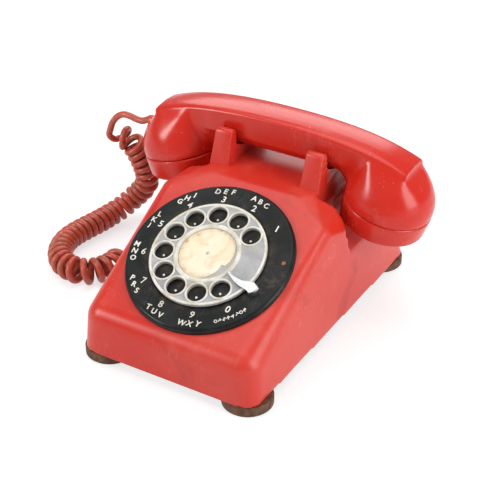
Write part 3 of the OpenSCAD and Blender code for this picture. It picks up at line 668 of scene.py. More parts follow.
    def flatten(self, degrees: float = 0.2) -> None:
        """Joins the faces that lie in one plane."""
        bmesh.ops.dissolve_limit(self.bm, angle_limit=math.radians(degrees), use_dissolve_boundaries=False,
                                 verts=self.bm.verts[:], edges=self.bm.edges[:])

    def soften(self, width: float, degrees: float, segments: int) -> None:
        """Rounds the edges sharper than an angle.

        Args:
            width: How far the rounding reaches from the edge.
            degrees: The least angle between the two faces.
            segments: Faces across the rounding.
        """
        edges = [e for e in self.bm.edges if len(e.link_faces) == 2
                 and e.calc_face_angle() > math.radians(degrees)]
        bmesh.ops.bevel(self.bm, geom=edges, offset=width, offset_type="OFFSET", affect="EDGES",
                        segments=segments, profile=0.5, material=-1, clamp_overlap=False,
                        loop_slide=True)

    def _bench(self, name: str) -> bpy.types.Object:
        """Puts the mesh on the bench.

        Args:
            name: The name that the object gets.

        Returns:
            The object.
        """
        mesh = bpy.data.meshes.new(name)
        self.bm.to_mesh(mesh)
        piece = bpy.data.objects.new(name, mesh)
        bpy.context.scene.collection.objects.link(piece)
        return piece

    def _take(self, piece: bpy.types.Object) -> None:
        """Takes an object's finished mesh back.

        Args:
            piece: The object, which is cleared away.
        """
        bpy.context.view_layer.update()
        seen = piece.evaluated_get(bpy.context.evaluated_depsgraph_get())
        mesh = bpy.data.meshes.new_from_object(seen)
        self.bm.clear()
        self.bm.from_mesh(mesh)
        bpy.data.objects.remove(piece)
        bpy.data.meshes.remove(mesh)

    def work(self, other: "Workpiece", how: Joinery, solver: Solver = Solver.EXACT) -> None:
        """Works this workpiece with another.

        Args:
            other: The other workpiece, which is used up.
            how: Whether it is added, cut away, or keeps only what both share.
            solver: How the two meshes are joined.
        """
        body, tool = self._bench("body"), other._bench("tool")
        change = body.modifiers.new("work", "BOOLEAN")
        change.operation, change.solver, change.object = how.value, solver.value, tool
        self._take(body)
        bpy.data.objects.remove(tool)
        other.bm.free()

    def cast(self, voxel: float, rounds: int) -> None:
        """Casts the whole workpiece again as one fine skin, and smooths it.

        Args:
            voxel: The size of its faces.
            rounds: How many times it is smoothed.
        """
        body = self._bench("body")
        change = body.modifiers.new("cast", "REMESH")
        change.mode, change.voxel_size = "VOXEL", voxel
        self._take(body)
        self.smooth(self.bm.verts[:], rounds)

    def smooth(self, verts: Sequence[bmesh.types.BMVert], rounds: int) -> None:
        """Smooths some of the points, a number of times."""
        for _ in range(rounds):
            bmesh.ops.smooth_vert(self.bm, verts=verts, factor=0.5,
                                  use_axis_x=True, use_axis_y=True, use_axis_z=True)

    def place(self, matrix: Matrix) -> None:
        """Moves everything so far."""
        bmesh.ops.transform(self.bm, matrix=matrix, verts=self.bm.verts[:])

    def done(self, name: str, finishes: Sequence[bpy.types.Material], body: Body | None, slot: Slot,
             replaces: Sequence[str] = (), crease: float = 32.0, even: bool = True) -> bpy.types.Object:
        """Takes the workpiece off the bench as a finished piece of the telephone.

        Args:
            name: The piece's name.
            finishes: Its materials, in the order of its faces' material numbers.
            body: The body it rides on, or None for a piece that is attached to no body.
            slot: The record's slot for its finish; not used.
            replaces: The nodes it stands for.
            crease: The angle from which an edge shades as a sharp one.
            even: Whether large faces lead the shading of rounded edges.

        Returns:
            The piece.
        """
        bmesh.ops.scale(self.bm, vec=(MM, MM, MM), verts=self.bm.verts[:])
        for face in self.bm.faces:
            face.smooth = True
        for edge in self.bm.edges:
            edge.smooth = len(edge.link_faces) != 2 or edge.calc_face_angle() < math.radians(crease)
        mesh = bpy.data.meshes.new(name)
        self.bm.to_mesh(mesh)
        self.bm.free()
        piece = bpy.data.objects.new(name, mesh)
        bpy.context.scene.collection.objects.link(piece)
        for finish in finishes:
            mesh.materials.append(finish)
        if even:
            shade = piece.modifiers.new("even_shading", "WEIGHTED_NORMAL")
            shade.keep_sharp = True
        if body is not None:
            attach(piece, body.value)
        if replaces:
            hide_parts(*replaces)
        log.info("%s: %d faces on %s", name, len(mesh.polygons), body.value if body else "two bodies")
        return piece


# ---------------------------------------------------------------- studio


@dataclass(frozen=True)
class SoftBox:
    """One lamp: where it hangs, what it faces and its width and height, in metres, and its power in watts."""

    name: str
    place: Point
    aim: Point
    size: tuple[float, float]
    power: float


@dataclass
class Studio:
    """Camera, pale floor and soft light."""

    azimuth: float = 30.402
    elevation: float = 32.479
    distance: float = 852.9
    target: Point = (-5.631, -4.25, 51.337)
    focal_share: float = 2.664375
    sensor: float = 36.0
    floor_width: float = 8000.0
    floor_grey: float = 0.78
    lit_grey: float = 0.42
    floor_glow: float = 0.66
    surround: float = 0.34
    lamps: tuple[SoftBox, ...] = (
        SoftBox("overhead_box", (-0.15, 0.15, 1.5), (0, 0, 0.05), (1.3, 1.3), 11.3),
        SoftBox("left_box", (-1.0, -1.05, 0.75), (0, 0, 0.08), (0.45, 0.6), 11.0),
        SoftBox("back_box", (-0.62, 1.25, 0.92), (0, 0, 0.08), (1.2, 0.7), 8.0),
        SoftBox("right_box", (1.5, -0.1, 0.65), (0, 0, 0.06), (0.9, 1.2), 18.0))

    def back(self) -> Vector:
        """Returns the direction from the telephone to the camera."""
        a, e = math.radians(self.azimuth), math.radians(self.elevation)
        return Vector((math.sin(a) * math.cos(e), -math.cos(a) * math.cos(e), math.sin(e)))

    def set_camera(self) -> None:
        """Puts the camera at its angle."""
        lens = bpy.data.cameras.new("camera")
        lens.sensor_width = self.sensor
        lens.lens = self.sensor * self.focal_share
        lens.clip_start, lens.clip_end = 0.05, 50.0
        camera = bpy.data.objects.new("camera", lens)
        camera.location = (Vector(self.target) + self.back() * self.distance) * MM
        camera.rotation_mode = "QUATERNION"
        camera.rotation_quaternion = (-self.back()).to_track_quat("-Z", "Y")
        bpy.context.scene.collection.objects.link(camera)
        bpy.context.scene.camera = camera

    def lay_floor(self) -> None:
        """Lays the pale floor, which looks white and keeps the telephone's shadow."""
        board = Board("studio_floor")
        ray = board.add("ShaderNodeLightPath", {}, {}, "Is Camera Ray")
        glossy = board.add("ShaderNodeLightPath", {}, {}, "Is Glossy Ray")
        through = board.add("ShaderNodeLightPath", {}, {}, "Is Transmission Ray")
        seen = ray.cover(glossy).cover(through)
        paper = board.add("ShaderNodeBsdfDiffuse", {}, {"Color": [self.floor_grey] * 3})
        lit = board.add("ShaderNodeBsdfDiffuse", {}, {"Color": [self.lit_grey] * 3})
        glow = board.add("ShaderNodeEmission", {}, {"Color": (1.0, 1.0, 1.0), "Strength": self.floor_glow})
        white = board.add("ShaderNodeAddShader", {}, {0: lit, 1: glow})
        floor_look = board.add("ShaderNodeMixShader", {}, {0: seen, 1: paper, 2: white})
        board.tree.links.new(floor_look.socket, board.output.inputs["Surface"])
        sheet = bmesh.new()
        bmesh.ops.create_grid(sheet, x_segments=1, y_segments=1, size=self.floor_width * MM / 2)
        mesh = bpy.data.meshes.new("floor")
        sheet.to_mesh(mesh)
        sheet.free()
        mesh.materials.append(board.material)
        floor = bpy.data.objects.new("floor", mesh)
        bpy.context.scene.collection.objects.link(floor)

    @staticmethod
    def hang(box: SoftBox) -> None:
        """Hangs one soft box.

        Args:
            box: The lamp's place, size and power.
        """
        lamp = bpy.data.lights.new(box.name, "AREA")
        lamp.shape = "RECTANGLE"
        lamp.size, lamp.size_y = box.size
        lamp.energy = box.power
        holder = bpy.data.objects.new(box.name, lamp)
        holder.location = box.place
        holder.rotation_mode = "QUATERNION"
        holder.rotation_quaternion = (Vector(box.aim) - Vector(box.place)).to_track_quat("-Z", "Y")
        bpy.context.scene.collection.objects.link(holder)

    def light(self) -> None:
        """Sets the soft light and a white surround."""
        world = bpy.data.worlds.new("surround")
        world.use_nodes = True
        tree = world.node_tree
        tree.nodes.clear()
        out = tree.nodes.new("ShaderNodeOutputWorld")
        path = tree.nodes.new("ShaderNodeLightPath")
        soft, white = (tree.nodes.new("ShaderNodeBackground") for _ in range(2))
        mix = tree.nodes.new("ShaderNodeMixShader")
        for surround, strength in ((soft, self.surround), (white, 1.0)):
            surround.inputs["Color"].default_value = (1.0, 1.0, 1.0, 1.0)
            surround.inputs["Strength"].default_value = strength
        tree.links.new(path.outputs["Is Camera Ray"], mix.inputs[0])
        tree.links.new(soft.outputs[0], mix.inputs[1])
        tree.links.new(white.outputs[0], mix.inputs[2])
        tree.links.new(mix.outputs[0], out.inputs["Surface"])
        bpy.context.scene.world = world
        for box in self.lamps:
            self.hang(box)
        bpy.context.scene.view_settings.view_transform = "Standard"

    def build(self) -> None:
        """Sets up the studio."""
        self.set_camera()
        self.lay_floor()
        self.light()


# ---------------------------------------------------------------- handset cord

CURVE_STEPS = 24


def curve_through(route: Sequence[Vector], step: float) -> list[Vector]:
    """Draws the smooth curve through a route.

    Args:
        route: The points it passes through.
        step: About how far apart its own points are to be.

    Returns:
        The curve's points.
    """
    fine: list[Vector] = []
    last = len(route) - 1
    for i in range(last):
        p0, p1, p2, p3 = route[max(i - 1, 0)], route[i], route[i + 1], route[min(i + 2, last)]
        for k in range(CURVE_STEPS):
            t = k / CURVE_STEPS
            fine.append(0.5 * (2 * p1 + (p2 - p0) * t + (2 * p0 - 5 * p1 + 4 * p2 - p3) * t * t
                               + (3 * p1 - p0 - 3 * p2 + p3) * t ** 3))
    fine.append(route[last].copy())
    return evenly(fine, step)


def evenly(line: Sequence[Vector], step: float) -> list[Vector]:
    """Spaces a line's points evenly.

    Args:
        line: The points as they are.
        step: About how far apart they are to be.

    Returns:
        The new points.
    """
    lengths = [0.0]
    for a, b in zip(line, line[1:]):
        lengths.append(lengths[-1] + (b - a).length)
    count = max(2, round(lengths[-1] / step))
    spaced, i = [], 0
    for k in range(count + 1):
        want = lengths[-1] * k / count
        while i < len(lengths) - 2 and lengths[i + 1] < want:
            i += 1
        part = (want - lengths[i]) / max(lengths[i + 1] - lengths[i], 1e-9)
        spaced.append(line[i].lerp(line[i + 1], min(part, 1.0)))
    return spaced


def smoothstep(x: float) -> float:
    """Returns a smooth rise from 0 to 1."""
    x = min(max(x, 0.0), 1.0)
    return x * x * (3 - 2 * x)


@dataclass
class HandsetCord:
    """The coiled cord from the handset down to the table and into the housing's left side.

    The coil's turns lie a pitch apart, further apart near its loose end and wherever a tight bend would
    press them together. Lead, axis and tail are the points that the cord is laid through: the straight
    wire before the coil, the middle of the coil, and the straight wire after it.
    """

    wire: float = 4.9
    pitch: float = 5.6
    loose_pitch: float = 6.5
    loose_from: float = 0.68
    loose_over: float = 0.15
    first_pitch: float = 5.84
    settled_after: float = 2.4
    closest: float = 0.97
    least_inner: float = 0.3
    widest: float = 10.0
    first_angle: float = 71.5
    step: float = 0.1
    spacing: float = 1.9
    sides: int = 12
    bend_reach: int = 40
    join_reach: int = 5
    join_rounds: int = 3
    radii: tuple[tuple[float, float], ...] = (
        (0.0, 6.8), (0.3, 6.6), (0.7, 6.7), (0.85, 7.3), (1.0, 7.2))
    lead: tuple[Point, ...] = (
        (-109.4, 44.75, 93), (-112, 44.7, 91.7), (-115, 44.6, 90.3), (-119.8, 44.5, 90.3),
        (-125.8, 44.5, 91.4), (-131.4, 44.5, 91.3), (-136.9, 44.4, 88.1), (-141.4, 44.5, 82.5),
        (-143.2, 43.4, 76.6), (-144.5, 43.6, 71.4), (-141.9, 45.8, 67.8), (-139.9, 48.8, 67.6),
        (-137.6, 49.5, 68.6))
    axis: tuple[Point, ...] = (
        (-134.7, 46, 72.8), (-130.8, 45.8, 71.3), (-126.9, 47.3, 67.7), (-124.8, 48.5, 63.4),
        (-122.3, 49.7, 57.7), (-120.2, 51, 50.9), (-119.2, 52.6, 43.9), (-119.7, 54.2, 37),
        (-122, 54.8, 30.3), (-126.1, 54, 24.4), (-130.6, 51.4, 19.1), (-134.7, 46.9, 14.4),
        (-138.2, 40.6, 11), (-141, 32.5, 9.4), (-143.2, 21.1, 9.1), (-145.7, 10.2, 9.1),
        (-147.7, -0.7, 9.1), (-147.7, -11.7, 9.1), (-144.4, -22.3, 9.3), (-138.5, -31, 9.5),
        (-131.2, -36.8, 9.5), (-123.5, -39.5, 9.7), (-115.3, -39.6, 9.7), (-108.6, -36.4, 9.7),
        (-104, -31, 9.6), (-101.3, -24.6, 9.5), (-100.2, -17.6, 9.5), (-100.4, -11.5, 9.5))
    tail: tuple[Point, ...] = (
        (-106.5, -5, 3.2), (-107, 1, 2.7), (-104.5, 8, 2.6), (-100, 15, 2.6), (-94, 20.5, 2.6),
        (-87.5, 23.5, 5), (-81.5, 24.8, 10), (-76, 25, 14.4), (-70, 25, 16), (-67.4, 25, 16))
    follows_base: Point = (-130, 50, 20)
    follows_handset: Point = (-130, 50, 88)

    def radius_at(self, share: float) -> float:
        """Looks up the coil's radius.

        Args:
            share: How far along the coil, from 0 to 1.

        Returns:
            The radius there.
        """
        for (start, first), (end, second) in zip(self.radii, self.radii[1:]):
            if share <= end:
                return first + (second - first) * smoothstep((share - start) / (end - start))
        return self.radii[-1][1]

    def pitch_at(self, spine: Sequence[Vector], i: int) -> float:
        """Works out how far apart the turns lie.

        Args:
            spine: The middle of the coil.
            i: The point of it that is asked for.

        Returns:
            The pitch there.
        """
        share = i / (len(spine) - 1)
        loosened = smoothstep((share - self.loose_from) / self.loose_over)
        wanted = self.pitch + (self.loose_pitch - self.pitch) * loosened
        inner = 1 - self.radius_at(share) * self._bend(spine, i)
        room = min(max(wanted, self.closest * self.wire / max(inner, self.least_inner)), self.widest)
        return self.first_pitch + (room - self.first_pitch) * smoothstep(i * self.step / self.settled_after)

    def coil(self) -> list[Vector]:
        """Winds the coiled stretch.

        Returns:
            Its middle line, from behind its first turn to below its last.
        """
        spine = curve_through([Vector(p) for p in self.axis], self.step)
        last = len(spine) - 1
        down, winding, frames = Vector((0, 0, -1)), [0.0], []
        across = down
        for i in range(last + 1):
            along = (spine[min(i + 1, last)] - spine[max(i - 1, 0)]).normalized()
            across = (across - along * across.dot(along)).normalized()
            frames.append((across, along.cross(across)))
            winding.append(winding[-1] + 2 * math.pi * self.step / self.pitch_at(spine, i))
        first = math.radians(self.first_angle)
        final = math.atan2(down.dot(frames[-1][1]), down.dot(frames[-1][0])) - first
        turns = round((winding[last] - final) / (2 * math.pi))
        stretch = (2 * math.pi * turns + final) / winding[last]
        line = []
        for i, (point, (across, up)) in enumerate(zip(spine, frames)):
            angle = first + winding[i] * stretch
            outwards = math.cos(angle) * across + math.sin(angle) * up
            line.append(point + self.radius_at(i / last) * outwards)
        return evenly(line, self.spacing)

    def _bend(self, spine: Sequence[Vector], i: int) -> float:
        """Measures how tightly the spine bends.

        Args:
            spine: The middle of the coil.
            i: The point of it that is asked for.

        Returns:
            One over the radius of the bend, in millimetres.
        """
        reach = min(self.bend_reach, i, len(spine) - 1 - i)
        if reach < self.bend_reach / 10:
            return 0.0
        first, second = spine[i] - spine[i - reach], spine[i + reach] - spine[i]
        return first.angle(second) / ((first.length + second.length) / 2)

    def path(self) -> list[Vector]:
        """Lays the lead, the coil and the tail end to end, and smooths the two joins.

        Returns:
            The whole middle line, in millimetres.
        """
        coil = self.coil()
        lead = curve_through([*[Vector(p) for p in self.lead], coil[0], coil[2]], self.spacing)
        tail = curve_through([coil[-3], coil[-1], *[Vector(p) for p in self.tail]], self.spacing)
        line = lead + coil[3:-3] + tail
        for _ in range(self.join_rounds):
            for join in (len(lead), len(line) - len(tail)):
                for i in range(join - self.join_reach, join + self.join_reach):
                    line[i] = line[i].lerp((line[i - 1] + line[i + 1]) / 2, 0.5)
        return line

    def rings(self, line: Sequence[Vector]) -> list[list[Vector]]:
        """Sets a ring of points round each point of the middle line.

        Args:
            line: The middle line.

        Returns:
            The rings, in order.
        """
        side, rings = Vector((0, 1, 0)), []
        for i, point in enumerate(line):
            along = (line[min(i + 1, len(line) - 1)] - line[max(i - 1, 0)]).normalized()
            side = (side - along * side.dot(along)).normalized()
            up = along.cross(side)
            rings.append([point + self.wire / 2 * (math.cos(a) * side + math.sin(a) * up)
                          for a in (2 * math.pi * k / self.sides for k in range(self.sides))])
        return rings

    def build(self) -> bpy.types.Object:
        """Returns:
            The cord.
        """
        line = self.path()
        work = Workpiece()
        work.loft(self.rings(line))
        length = sum((b - a).length for a, b in zip(line, line[1:])) * MM
        log.info("handset cord: %.3f m of wire", length)
        cord = work.done("handset_cord", [CordVinyl().make()], None, Slot.CORD,
                         ["cord_lead", "cord_coil", "cord_tail"], even=False)
        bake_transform(cord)
        [tuple(p * MM) for p in line]
        return cord


# ---------------------------------------------------------------- housing


def cup_place(side: int) -> Matrix:
    """Returns the place of a cup, with z along its axis and z = 0 on its seam."""
    return at(side * CUP_REACH, CRADLE_BACK, CUP_HEIGHT) @ turn(side * CUP_TILT, "Y")


def deck_place() -> Matrix:
    """Returns the place of the dial, with z = 0 on the sloping deck."""
    return at(0, -DIAL_FORWARD, DECK_HEIGHT) @ turn(DECK_TILT, "X")


@dataclass
class Housing:
    """The moulded housing with its sloping deck, cradle ears, cup scoops and carrying recess."""

    wall: float = 2.8
    voxel: float = 1.0
    cast_rounds: int = 3
    front: tuple[float, float, float] = (53.5, -97.0, 11.0)
    rear: tuple[float, float, float] = (55.0, 94.0, 14.0)
    edge_z: float = 7.0
    knuckles: tuple[tuple[float, float, float, float], ...] = (
        (49.6, -94.0, 29.32, 14.0), (55.0, -8.0, 76.79, 8.0), (33.0, 5.21, 87.5, 4.0),
        (38.5, 13.5, 87.5, 4.0), (38.5, 76.0, 87.5, 4.0), (61.6, 17.5, 53.0, 4.0), (61.6, 72.0, 53.0, 4.0))
    scoop_side: tuple[Point, ...] = (
        (41.2, 78.5), (50.0, 77.0), (66.0, 52.0), (80.0, 30.0), (80.0, 126.5), (41.2, 126.5))
    scoop_plan: tuple[Point, ...] = ((36.2, 11.6), (80.0, 18.3), (80.0, 71.2), (36.2, 77.9))
    scoop_floor: float = 19.5
    scoop_radius: float = 33.5
    scoop_depth: float = 90.0
    flank_back: float = 108.0
    top: float = 126.5
    recess_place: Point = (-36.0, 99.97, 68.0)
    recess_radius: float = 20.0
    ear_x: float = 34.1
    ear_half: float = 7.1
    ear_taper: float = 0.0042
    ear_foot: float = 88.0
    ear_edge: float = 1.0
    crown_place: Point = (25.6, 111.0)
    crown_radius: float = 3.55
    post_back: float = 14.6
    saddle: tuple[Point, ...] = (
        (19.5, 88.5), (28.35, 103.6), (30.35, 101.6), (40.25, 97.8), (49.25, 97.8), (59.15, 101.6),
        (61.15, 103.6), (70.0, 88.5))
    saddle_inset: float = 0.3
    saddle_edge: float = 0.6
    dial_opening: float = 49.75
    plunger_hole: float = 3.6
    plunger_low: float = 84.7
    bush_hole: float = 4.9
    cord_entry: Point = (-75.4, 25.0, 16.0)
    line_entry: Point = (0.0, 104.13, 19.0)
    line_tilt: float = -70.6

    def form(self, inset: float) -> Workpiece:
        """Shrinks a skin over the corner drums and knuckle balls.

        Args:
            inset: 0 for the outside, or the wall's thickness for the hollow inside.

        Returns:
            The closed form.
        """
        shell = Workpiece()
        for side in SIDES:
            for x, y, radius in (self.front, self.rear):
                shell.drum(at(side * x, y, self.edge_z - inset), radius - inset, inset + 1, 64)
            for x, y, z, radius in self.knuckles:
                shell.ball((side * x, y, z), radius - inset, 48)
        shell.hull()
        return shell

    def scoop(self, side: int, grow: float) -> Workpiece:
        """Shapes the pocket beside one ear that takes a cup of the resting handset.

        Args:
            side: -1 for the left pocket, 1 for the right one.
            grow: How far its faces are moved outwards.

        Returns:
            The pocket.
        """
        pocket, flank, plan = Workpiece(), Workpiece(), Workpiece()
        pocket.drum(cup_place(1) @ at(0, 0, -self.scoop_floor - grow), self.scoop_radius + grow,
                    self.scoop_depth, 128)
        flank.prism([(x - grow, z - grow) for x, z in self.scoop_side], 2 * self.flank_back,
                    at(0, self.flank_back, 0) @ turn(90, "X"))
        plan.prism([(x, y + math.copysign(grow, y - CRADLE_BACK)) for x, y in self.scoop_plan],
                   self.top, at(0, 0, 0))
        flank.work(plan, Joinery.KEEP)
        pocket.work(flank, Joinery.ADD)
        if side < 0:
            pocket.place(Matrix.Scale(-1, 4, (1, 0, 0)))
            pocket.tidy()
        return pocket

    def recess(self, grow: float) -> Workpiece:
        """Returns the carrying recess in the rear wall."""
        hollow = Workpiece()
        hollow.drum(at(-grow, 0, 0) @ at(*self.recess_place) @ turn(90, "Y"), self.recess_radius + grow,
                    2 * (grow - self.recess_place[0]), 96)
        return hollow

    def hollowed(self, inset: float) -> Workpiece:
        """Cuts the scoops and the recess out of the form.

        Args:
            inset: How far the form is shrunk and each cut is grown.

        Returns:
            What is left.
        """
        body = self.form(inset)
        for side in SIDES:
            body.work(self.scoop(side, inset), Joinery.CUT)
        body.work(self.recess(inset), Joinery.CUT)
        return body

    def post(self, side: int, mirrored: bool) -> Workpiece:
        """Shapes one post of an ear: a prism with a round crown, narrower at its tip than at its foot.

        Args:
            side: -1 for the left ear, 1 for the right one.
            mirrored: Whether it is the rear post.

        Returns:
            The post.
        """
        middle, height = self.crown_place
        crown = [(middle + self.crown_radius * math.cos(math.radians(a)),
                  height + self.crown_radius * math.sin(math.radians(a))) for a in range(10, 166, 10)]
        outline = [(middle + self.crown_radius, self.ear_foot), *crown, (self.post_back, self.ear_foot)]
        post = Workpiece()
        post.prism([(2 * CRADLE_BACK - y if mirrored else y, z) for y, z in outline],
                   2 * self.ear_half, self.ear_lay(side))
        for corner in post.bm.verts:
            lean = 1 - self.ear_taper * (corner.co.z - self.ear_foot)
            corner.co.x = side * self.ear_x + (corner.co.x - side * self.ear_x) * lean
        post.soften(self.ear_edge, 50.0, 3)
        return post

    def ear_lay(self, side: int) -> Matrix:
        """Returns the place of an ear's outline, which lies in the plane of y and z."""
        return at(side * self.ear_x - self.ear_half, 0, 0) @ turn(90, "Z") @ turn(90, "X")

    def ears(self) -> list[Workpiece]:
        """Shapes the two ears.

        Returns:
            Two posts for each ear, with a saddle between them.
        """
        parts = []
        for side in SIDES:
            parts += [self.post(side, mirrored) for mirrored in (False, True)]
            saddle = Workpiece()
            saddle.prism(self.saddle, 2 * (self.ear_half - self.saddle_inset),
                         at(self.saddle_inset, 0, 0) @ self.ear_lay(side))
            saddle.soften(self.saddle_edge, 30.0, 2)
            parts.append(saddle)
        return parts

    def openings(self) -> list[Workpiece]:
        """Shapes what is drilled through the wall.

        Returns:
            The dial opening, the two plunger holes and the holes for the two cords.
        """
        holes = [Workpiece() for _ in range(5)]
        holes[0].drum(deck_place() @ at(0, 0, -12), self.dial_opening, 30, 128)
        for side, hole in zip(SIDES, holes[1:3]):
            hole.drum(at(side * self.ear_x, CRADLE_BACK, self.plunger_low), self.plunger_hole, 30, 32)
        holes[3].drum(at(*self.cord_entry) @ turn(90, "Y"), self.bush_hole, 16, 48)
        holes[4].drum(at(*self.line_entry) @ turn(self.line_tilt, "X") @ at(0, 0, -8), self.bush_hole, 16, 48)
        return holes

    def build(self) -> bpy.types.Object:
        """Builds the housing.

        Returns:
            Its moulding.
        """
        body = self.hollowed(0.0)
        body.cast(self.voxel, self.cast_rounds)
        for part in self.ears():
            body.work(part, Joinery.ADD, Solver.QUICK)
        body.work(self.hollowed(self.wall), Joinery.CUT, Solver.QUICK)
        for hole in self.openings():
            body.work(hole, Joinery.CUT, Solver.QUICK)
        body.tidy(1e-3)
        finish = AgedPlastic("housing_plastic").make()
        return body.done("housing_moulding", [finish], Body.BASE, Slot.SHELL, ["housing"], even=False)


# ---------------------------------------------------------------- handset


@dataclass
class Handset:
    """The handle between its two cup heads, in one moulding."""

    voxel: float = 0.75
    cast_rounds: int = 3
    end: float = 94.5
    half: float = 14.0
    bar_steps: int = 24
    top: float = 126.5
    ridge_reach: float = 93.0
    ridge_drop: float = 7.3
    ridge_curl: float = 6.0
    arch_top: float = 98.2
    arch_half: float = 43.2
    arch_run: float = 9.0
    arch_fall: float = 9.0
    lowest: float = 84.0
    waist: float = 107.0
    shoulder: tuple[tuple[float, float], ...] = ((0, 3.6), (0.5, 2.2), (1.7, 1.4), (4, 0.8), (9, 0.2))
    head_profile: tuple[Point, ...] = (
        (30, 0, 0), (30, 4, 0), (29.2, 9, 0), (27.4, 14, 0.03), (24.8, 19, 0.18), (21.2, 24, 0.5),
        (17.9, 28, 0.8), (15.6, 30.5, 0.95), (13.9, 32.3, 1), (11.3, 33.4, 0.85))
    head_step: float = 1.2
    head_sides: int = 72
    flat_outer: float = 4.2
    flat_inner: float = 16.0
    flat_half: float = 12.4
    flare_from: float = 52.0
    flare_low: float = 88.0
    flare_below_ridge: float = 3.8
    flare_rounds: int = 60
    hollow_radius: float = 26.0
    exit_place: Point = (-110.4, CRADLE_BACK, 93.0)
    exit_radius: float = 4.0
    cap_radius: float = 30.0
    cap_depth: float = 15.0
    cap_dish: float = 1.0
    cap_flat: float = 18.0
    cap_round: float = 3.0
    cap_corner: float = 26.0
    cap_bore: float = 27.4
    cap_floor: float = 2.2
    gap: float = 0.3
    brow: float = 1.5
    sound_hole: float = 1.3
    transmitter_circles: tuple[tuple[float, int], ...] = ((12, 12), (6, 6))
    receiver_circles: tuple[tuple[float, int], ...] = ((5, 6),)

    def ridge_at(self, x: float) -> float:
        """Returns the height of the top ridge."""
        share = x / self.ridge_reach
        return self.top - self.ridge_drop * share ** 2 - self.ridge_curl * share ** 4

    def under_at(self, x: float) -> float:
        """Returns the height of the underside: an arch between the cups."""
        return self.arch_top - self.arch_fall * (max(0.0, abs(x) - self.arch_half) / self.arch_run) ** 2

    def section(self, x: float) -> list[Vector]:
        """Outlines the handle across: crowned top, upright sides, narrower underside.

        Args:
            x: Where it is cut.

        Returns:
            The outline's points in order.
        """
        top, half = self.ridge_at(x), self.half
        low = max(self.under_at(x), self.lowest)
        waist = min(self.waist, top - 6)
        knee = min(low + 2.6, waist - 1)
        right = [(half - 9.5, low), (half - 4.6, knee), (half, waist)]
        right += [(half - inwards, top - down) for inwards, down in self.shoulder]
        both = right + [(0, top)] + [(-y, z) for y, z in reversed(right)]
        return [Vector((x, CRADLE_BACK + y, z)) for y, z in both]

    def bar(self) -> Workpiece:
        """Returns the bar of the handle."""
        bar = Workpiece()
        bar.loft([self.section(self.end * i / self.bar_steps)
                  for i in range(-self.bar_steps, self.bar_steps + 1)])
        return bar

    def head(self, side: int) -> Workpiece:
        """Shapes one cup's head: round at its seam, growing into a rounded oblong at the handle's end.

        Args:
            side: -1 for the left head, 1 for the right one.

        Returns:
            The head.
        """
        head = Workpiece()
        rings = []
        profile = [Vector(p) for p in self.head_profile]
        for half, height, squareness in curve_through(profile, self.head_step):
            radius = half - self.flat_half * squareness
            ring = []
            for j in range(self.head_sides):
                a = 2 * math.pi * (j + 0.5) / self.head_sides
                c, s = math.cos(a), math.sin(a)
                along = self.flat_outer if c * side > 0 else self.flat_inner
                ring.append(Vector((radius * c + math.copysign(along * squareness, c),
                                    radius * s + math.copysign(self.flat_half * squareness, s), height)))
            rings.append([cup_place(side) @ p for p in ring])
        head.loft(rings)
        return head

    def in_flare(self, point: Vector) -> bool:
        """Says whether a point lies where a head grows out of the handle, below the ridge."""
        below_ridge = point.z < self.ridge_at(point.x) - self.flare_below_ridge
        return self.flare_from < abs(point.x) and self.flare_low < point.z and below_ridge

    def cap(self, side: int, circles: Sequence[tuple[float, int]]) -> Workpiece:
        """Turns a cup's screwed cap, with a sound hole in its middle and circles of them round it.

        Args:
            side: -1 for the transmitter's cap, 1 for the receiver's.
            circles: The radius of each circle of holes, and how many it has.

        Returns:
            The cap.
        """
        depth, brow, bend = self.cap_depth, self.brow, self.cap_round
        corner = [math.radians(a) for a in range(270, 353, 9)]
        brim = [math.radians(a) for a in range(0, 91, 15)]
        cap = Workpiece()
        cap.lathe([(self.sound_hole, -depth), (self.cap_flat, -depth)]
                  + [(self.cap_corner + bend * math.cos(a), bend - depth - self.cap_dish + bend * math.sin(a))
                     for a in corner]
                  + [(self.cap_radius - brow + brow * math.cos(a), brow * math.sin(a) - brow - self.gap)
                     for a in brim]
                  + [(self.cap_bore, -self.gap), (self.cap_bore, self.cap_floor + 1 - depth),
                     (self.cap_bore - 1, self.cap_floor - depth), (self.sound_hole, self.cap_floor - depth)],
                  cup_place(side), 144)
        for radius, count in circles:
            for k in range(count):
                a = 2 * math.pi * k / count
                hole = Workpiece()
                hole.drum(cup_place(side) @ at(radius * math.cos(a), radius * math.sin(a), -depth - 1),
                          self.sound_hole, 4, 24)
                cap.work(hole, Joinery.CUT)
        return cap

    def moulding(self) -> Workpiece:
        """Casts the bar and the heads as one, opens the cups below and drills the cord's hole.

        Returns:
            The handset without its caps.
        """
        body = self.bar()
        for side in SIDES:
            body.join(self.head(side))
        body.cast(self.voxel, self.cast_rounds)
        body.smooth([v for v in body.bm.verts if self.in_flare(v.co)], self.flare_rounds)
        for side in SIDES:
            below, hollow = Workpiece(), Workpiece()
            below.drum(cup_place(side) @ at(0, 0, -20), self.cap_radius + 5, 20, 96)
            hollow.drum(cup_place(side) @ at(0, 0, -20), self.hollow_radius, 30, 96)
            body.work(below, Joinery.CUT, Solver.QUICK)
            body.work(hollow, Joinery.CUT, Solver.QUICK)
        exit_hole = Workpiece()
        exit_hole.drum(at(*self.exit_place) @ turn(90, "Y"), self.exit_radius, 8, 48)
        body.work(exit_hole, Joinery.CUT, Solver.QUICK)
        body.tidy(1e-3)
        return body

